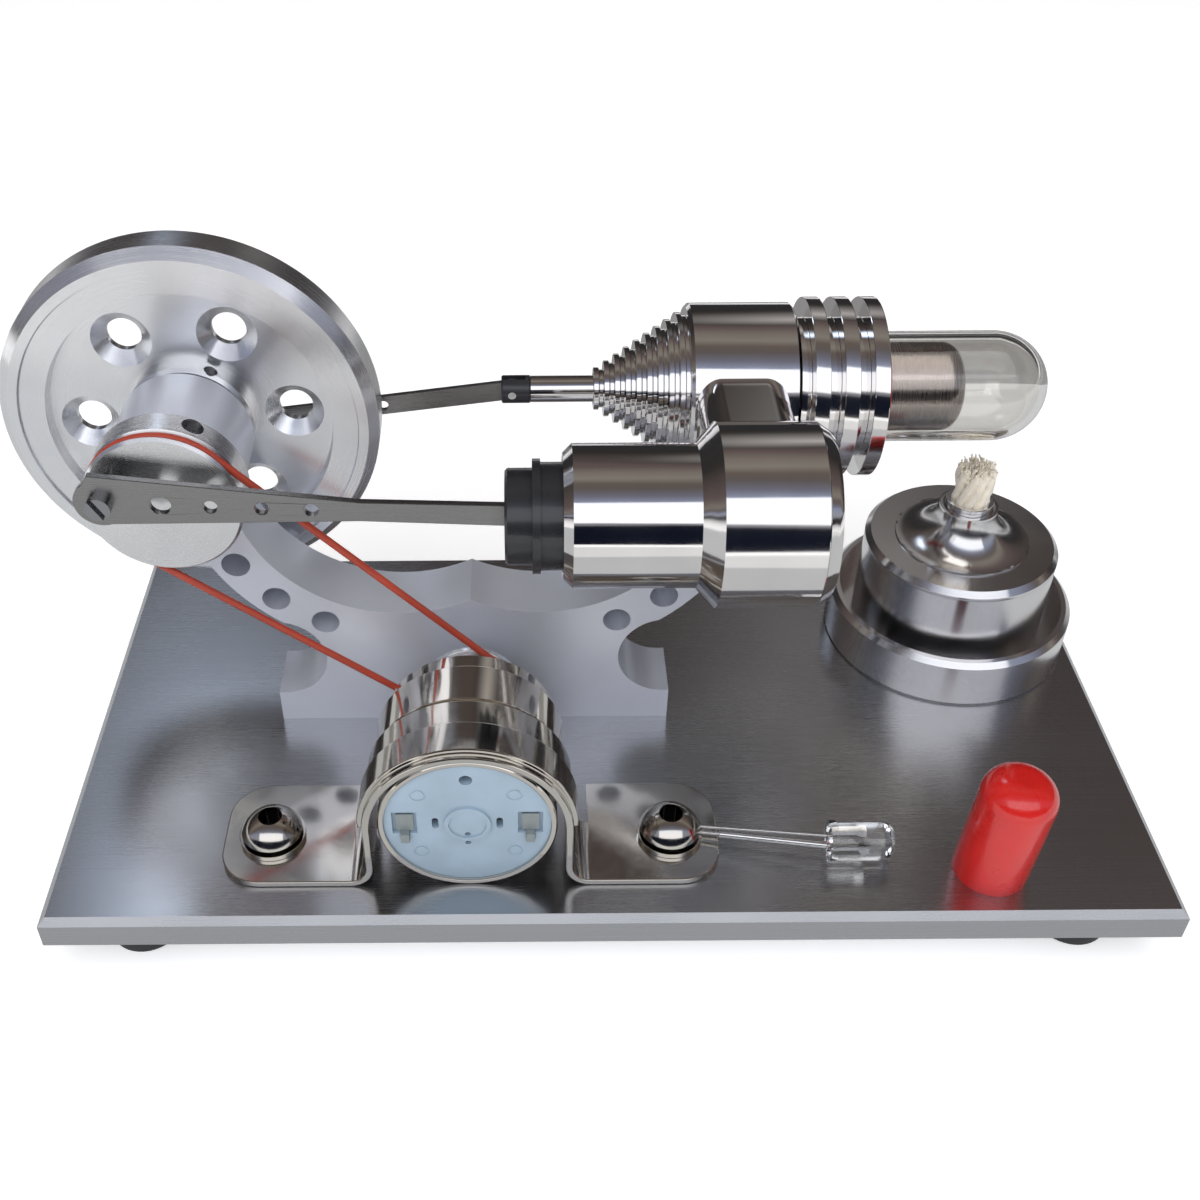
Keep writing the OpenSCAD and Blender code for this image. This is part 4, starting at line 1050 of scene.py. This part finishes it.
@dataclass
class Studio:
    """The camera, the pale floor and the soft lights."""

    datum: Datum
    camera_place: tuple[float, float, float] = (68.2, -121.0, 157.0)
    pitch: float = 39.5
    roll: float = -0.42
    lens: float = 41.94
    shift: float = 0.0617
    floor_size: float = 8.0

    def camera(self) -> None:
        """Creates the camera and makes it the scene's own."""
        data = bpy.data.cameras.new("camera")
        data.sensor_width = 36.0
        data.lens = self.lens
        data.shift_x = self.shift
        data.clip_start = 0.005
        camera = bpy.data.objects.new("camera", data)
        bpy.context.scene.collection.objects.link(camera)
        turn = Matrix.Rotation(math.radians(90 - self.pitch), 4, "X")
        turn @= Matrix.Rotation(math.radians(self.roll), 4, "Z")
        camera.matrix_world = Matrix.Translation(self.datum.at(*self.camera_place)) @ turn
        bpy.context.scene.camera = camera

    def floor(self) -> None:
        """Lays the pale floor under the feet."""
        bpy.ops.object.select_all(action="DESELECT")
        bpy.ops.mesh.primitive_plane_add(size=self.floor_size, location=(0, 0, 0))
        floor = bpy.context.object
        floor.name = "floor"
        g = Graph("floor_paper")
        cloud = g.noise(g.place(Vector((0, 0, 0))), 3.0, 2.0)
        paper = g.tint(g.span(cloud, 0.0, 1.0), (0.90, 0.90, 0.90), (0.93, 0.93, 0.93))
        g.join(paper, g.shader, "Base Color")
        g.set(Roughness=0.9, Specular_IOR_Level=0.1,
              Emission_Color=(1.0, 1.0, 1.0, 1.0), Emission_Strength=0.35)
        floor.data.materials.append(g.material)

    def softbox(self, name: str, elevation: float, azimuth: float, distance: float,
                size: tuple[float, float], power: float, mirrored: bool = True) -> None:
        """Hangs a rectangular area light that faces the engine.

        Args:
            name: the light's name.
            elevation: its height above the horizon, in degrees.
            azimuth: 0 is in front of the engine and 90 is to its right, in degrees.
            distance: metres from the engine.
            size: its width and height in metres.
            power: its power in watts.
            mirrored: whether metal shows it.
        """
        data = bpy.data.lights.new(name, "AREA")
        data.shape = "RECTANGLE"
        data.size, data.size_y = size
        data.energy = power
        light = bpy.data.objects.new(name, data)
        bpy.context.scene.collection.objects.link(light)
        e, a = math.radians(elevation), math.radians(azimuth)
        aim = Vector((math.sin(a) * math.cos(e), -math.cos(a) * math.cos(e), math.sin(e)))
        place = aim * distance
        light.location = place + Vector((0, 0, 0.05))
        light.rotation_euler = (-place).to_track_quat("-Z", "Y").to_euler()
        light.visible_glossy = mirrored

    def card(self, name: str, centre: tuple[float, float, float], size: tuple[float, float],
             level: float, tilt: float = 90.0,
             colour: Colour = (1.0, 1.0, 1.0)) -> bpy.types.Object:
        """Stands a card that shows only in reflections.

        Args:
            name: the card's name.
            centre: its middle in metres.
            size: its width and height in metres.
            level: how bright it is, 0 for black.
            tilt: its lean from flat, in degrees.
            colour: its colour.

        Returns:
            The card.
        """
        bpy.ops.object.select_all(action="DESELECT")
        bpy.ops.mesh.primitive_plane_add(size=1, location=centre,
                                         rotation=(math.radians(tilt), 0, 0))
        card = bpy.context.object
        card.name = name
        card.scale = (size[0], size[1], 1)
        bpy.ops.object.transform_apply(location=True, rotation=True, scale=True)
        g = Graph(name)
        g.set(Base_Color=(0.0, 0.0, 0.0, 1.0), Roughness=1.0, Specular_IOR_Level=0.0,
              Emission_Color=(*colour, 1.0), Emission_Strength=level)
        card.data.materials.append(g.material)
        card.visible_camera = False
        card.visible_diffuse = False
        card.visible_shadow = False
        return card

    def window(self, name: str, centre: tuple[float, float, float], size: tuple[float, float],
               level: float, colour: Colour) -> None:
        """Stands a soft-edged bright patch behind the engine that shows only in reflections.

        Args:
            name: the patch's name.
            centre: its middle in metres.
            size: its width and height in metres.
            level: its brightness in the middle.
            colour: its colour.
        """
        card = self.card(name, centre, size, level, 90.0, colour)
        g = Graph(name + "_glow")
        scale = (2 / size[0], 1.0, 2 / size[1])
        fade = g.add("ShaderNodeTexGradient", gradient_type="QUADRATIC_SPHERE")
        g.join(g.place(Vector(centre), scale), fade, 0)
        g.set(Base_Color=(0.0, 0.0, 0.0, 1.0), Roughness=1.0, Specular_IOR_Level=0.0,
              Emission_Color=(*colour, 1.0))
        g.join(g.sums("MULTIPLY", fade.outputs["Fac"], level), g.shader, "Emission Strength")
        clear = g.add("ShaderNodeBsdfTransparent")
        blend = g.add("ShaderNodeMixShader")
        g.join(g.span(fade.outputs["Fac"], 0.0, 1.0, 0.0, 0.25), blend, 0)
        g.join(clear.outputs[0], blend, 1)
        g.join(g.shader.outputs[0], blend, 2)
        g.join(blend.outputs[0], g.output, 0)
        card.data.materials[0] = g.material

    def surroundings(self) -> None:
        """Fills the room with dim walls and ceiling, by the angle from the front up and over."""
        world = bpy.data.worlds.new("room")
        bpy.context.scene.world = world
        world.use_nodes = True
        tree = world.node_tree
        tree.nodes.clear()
        out = tree.nodes.new("ShaderNodeOutputWorld")
        walls = tree.nodes.new("ShaderNodeBackground")
        where = tree.nodes.new("ShaderNodeTexCoord")
        split = tree.nodes.new("ShaderNodeSeparateXYZ")
        flip = tree.nodes.new("ShaderNodeMath")
        flip.operation = "MULTIPLY"
        flip.inputs[1].default_value = -1.0
        angle = tree.nodes.new("ShaderNodeMath")
        angle.operation = "ARCTAN2"
        turn = tree.nodes.new("ShaderNodeMapRange")
        turn.inputs["From Min"].default_value = -math.pi
        turn.inputs["From Max"].default_value = math.pi
        ramp = tree.nodes.new("ShaderNodeValToRGB")
        join = tree.links.new
        join(where.outputs["Generated"], split.inputs[0])
        join(split.outputs[1], flip.inputs[0])
        join(split.outputs[2], angle.inputs[0])
        join(flip.outputs[0], angle.inputs[1])
        join(angle.outputs[0], turn.inputs["Value"])
        join(turn.outputs[0], ramp.inputs[0])
        join(ramp.outputs[0], walls.inputs[0])
        join(walls.outputs[0], out.inputs[0])
        elements = ramp.color_ramp.elements
        elements[0].position = 0.5 + ROOM[0][0] / 360
        elements[0].color = (*ROOM[0][1], 1.0)
        elements[1].position = 0.5 + ROOM[-1][0] / 360
        elements[1].color = (*ROOM[-1][1], 1.0)
        for degrees, colour in ROOM[1:-1]:
            elements.new(0.5 + degrees / 360).color = (*colour, 1.0)

    def build(self) -> None:
        """Sets up the studio round the engine."""
        bpy.context.scene.view_settings.view_transform = "Standard"
        self.floor()
        self.surroundings()
        self.softbox("key", 40, 0, 1.3, (2.4, 0.74), 5.8)
        self.softbox("overhead", 75, 20, 1.3, (1.6, 1.6), 13, False)
        self.softbox("front_wash", 35, -35, 1.3, (1.2, 0.9), 5, False)
        self.card("front_flag", (0.0, -0.38, 0.098), (1.8, 0.195), 0.012, 90.0, (0.6, 0.8, 1.6))
        self.card("bench_near", (0.0, 0.0, 0.0006), (0.9, 0.24), 0.62, 0.0, (0.96, 0.98, 1.0))
        self.card("bench_far", (0.0, -0.19, 0.0005), (1.2, 0.14), 0.88, 0.0)
        self.card("bench_back", (0.0, 0.27, 0.0004), (1.2, 0.30), 0.30, 0.0)
        self.window("left_window", (-0.27, 0.57, 0.88), (0.50, 0.85), 5.5, (0.72, 0.83, 1.0))
        self.window("right_window", (0.20, 0.57, 0.62), (0.42, 1.0), 0.55, (1.0, 0.95, 0.92))


def main() -> None:
    """Builds the engine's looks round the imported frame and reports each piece."""
    logging.basicConfig(level=logging.INFO, format="%(message)s")
    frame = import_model()
    nodes = frame["nodes"]
    studio = Studio(Datum())
    studio.camera()
    for part in (BaseAndFrame, CrankTrain, Cylinders, Generator, Lamp, Burner, Snuffer):
        part(nodes).build()
    studio.build()


if __name__ == "__main__":
    main()
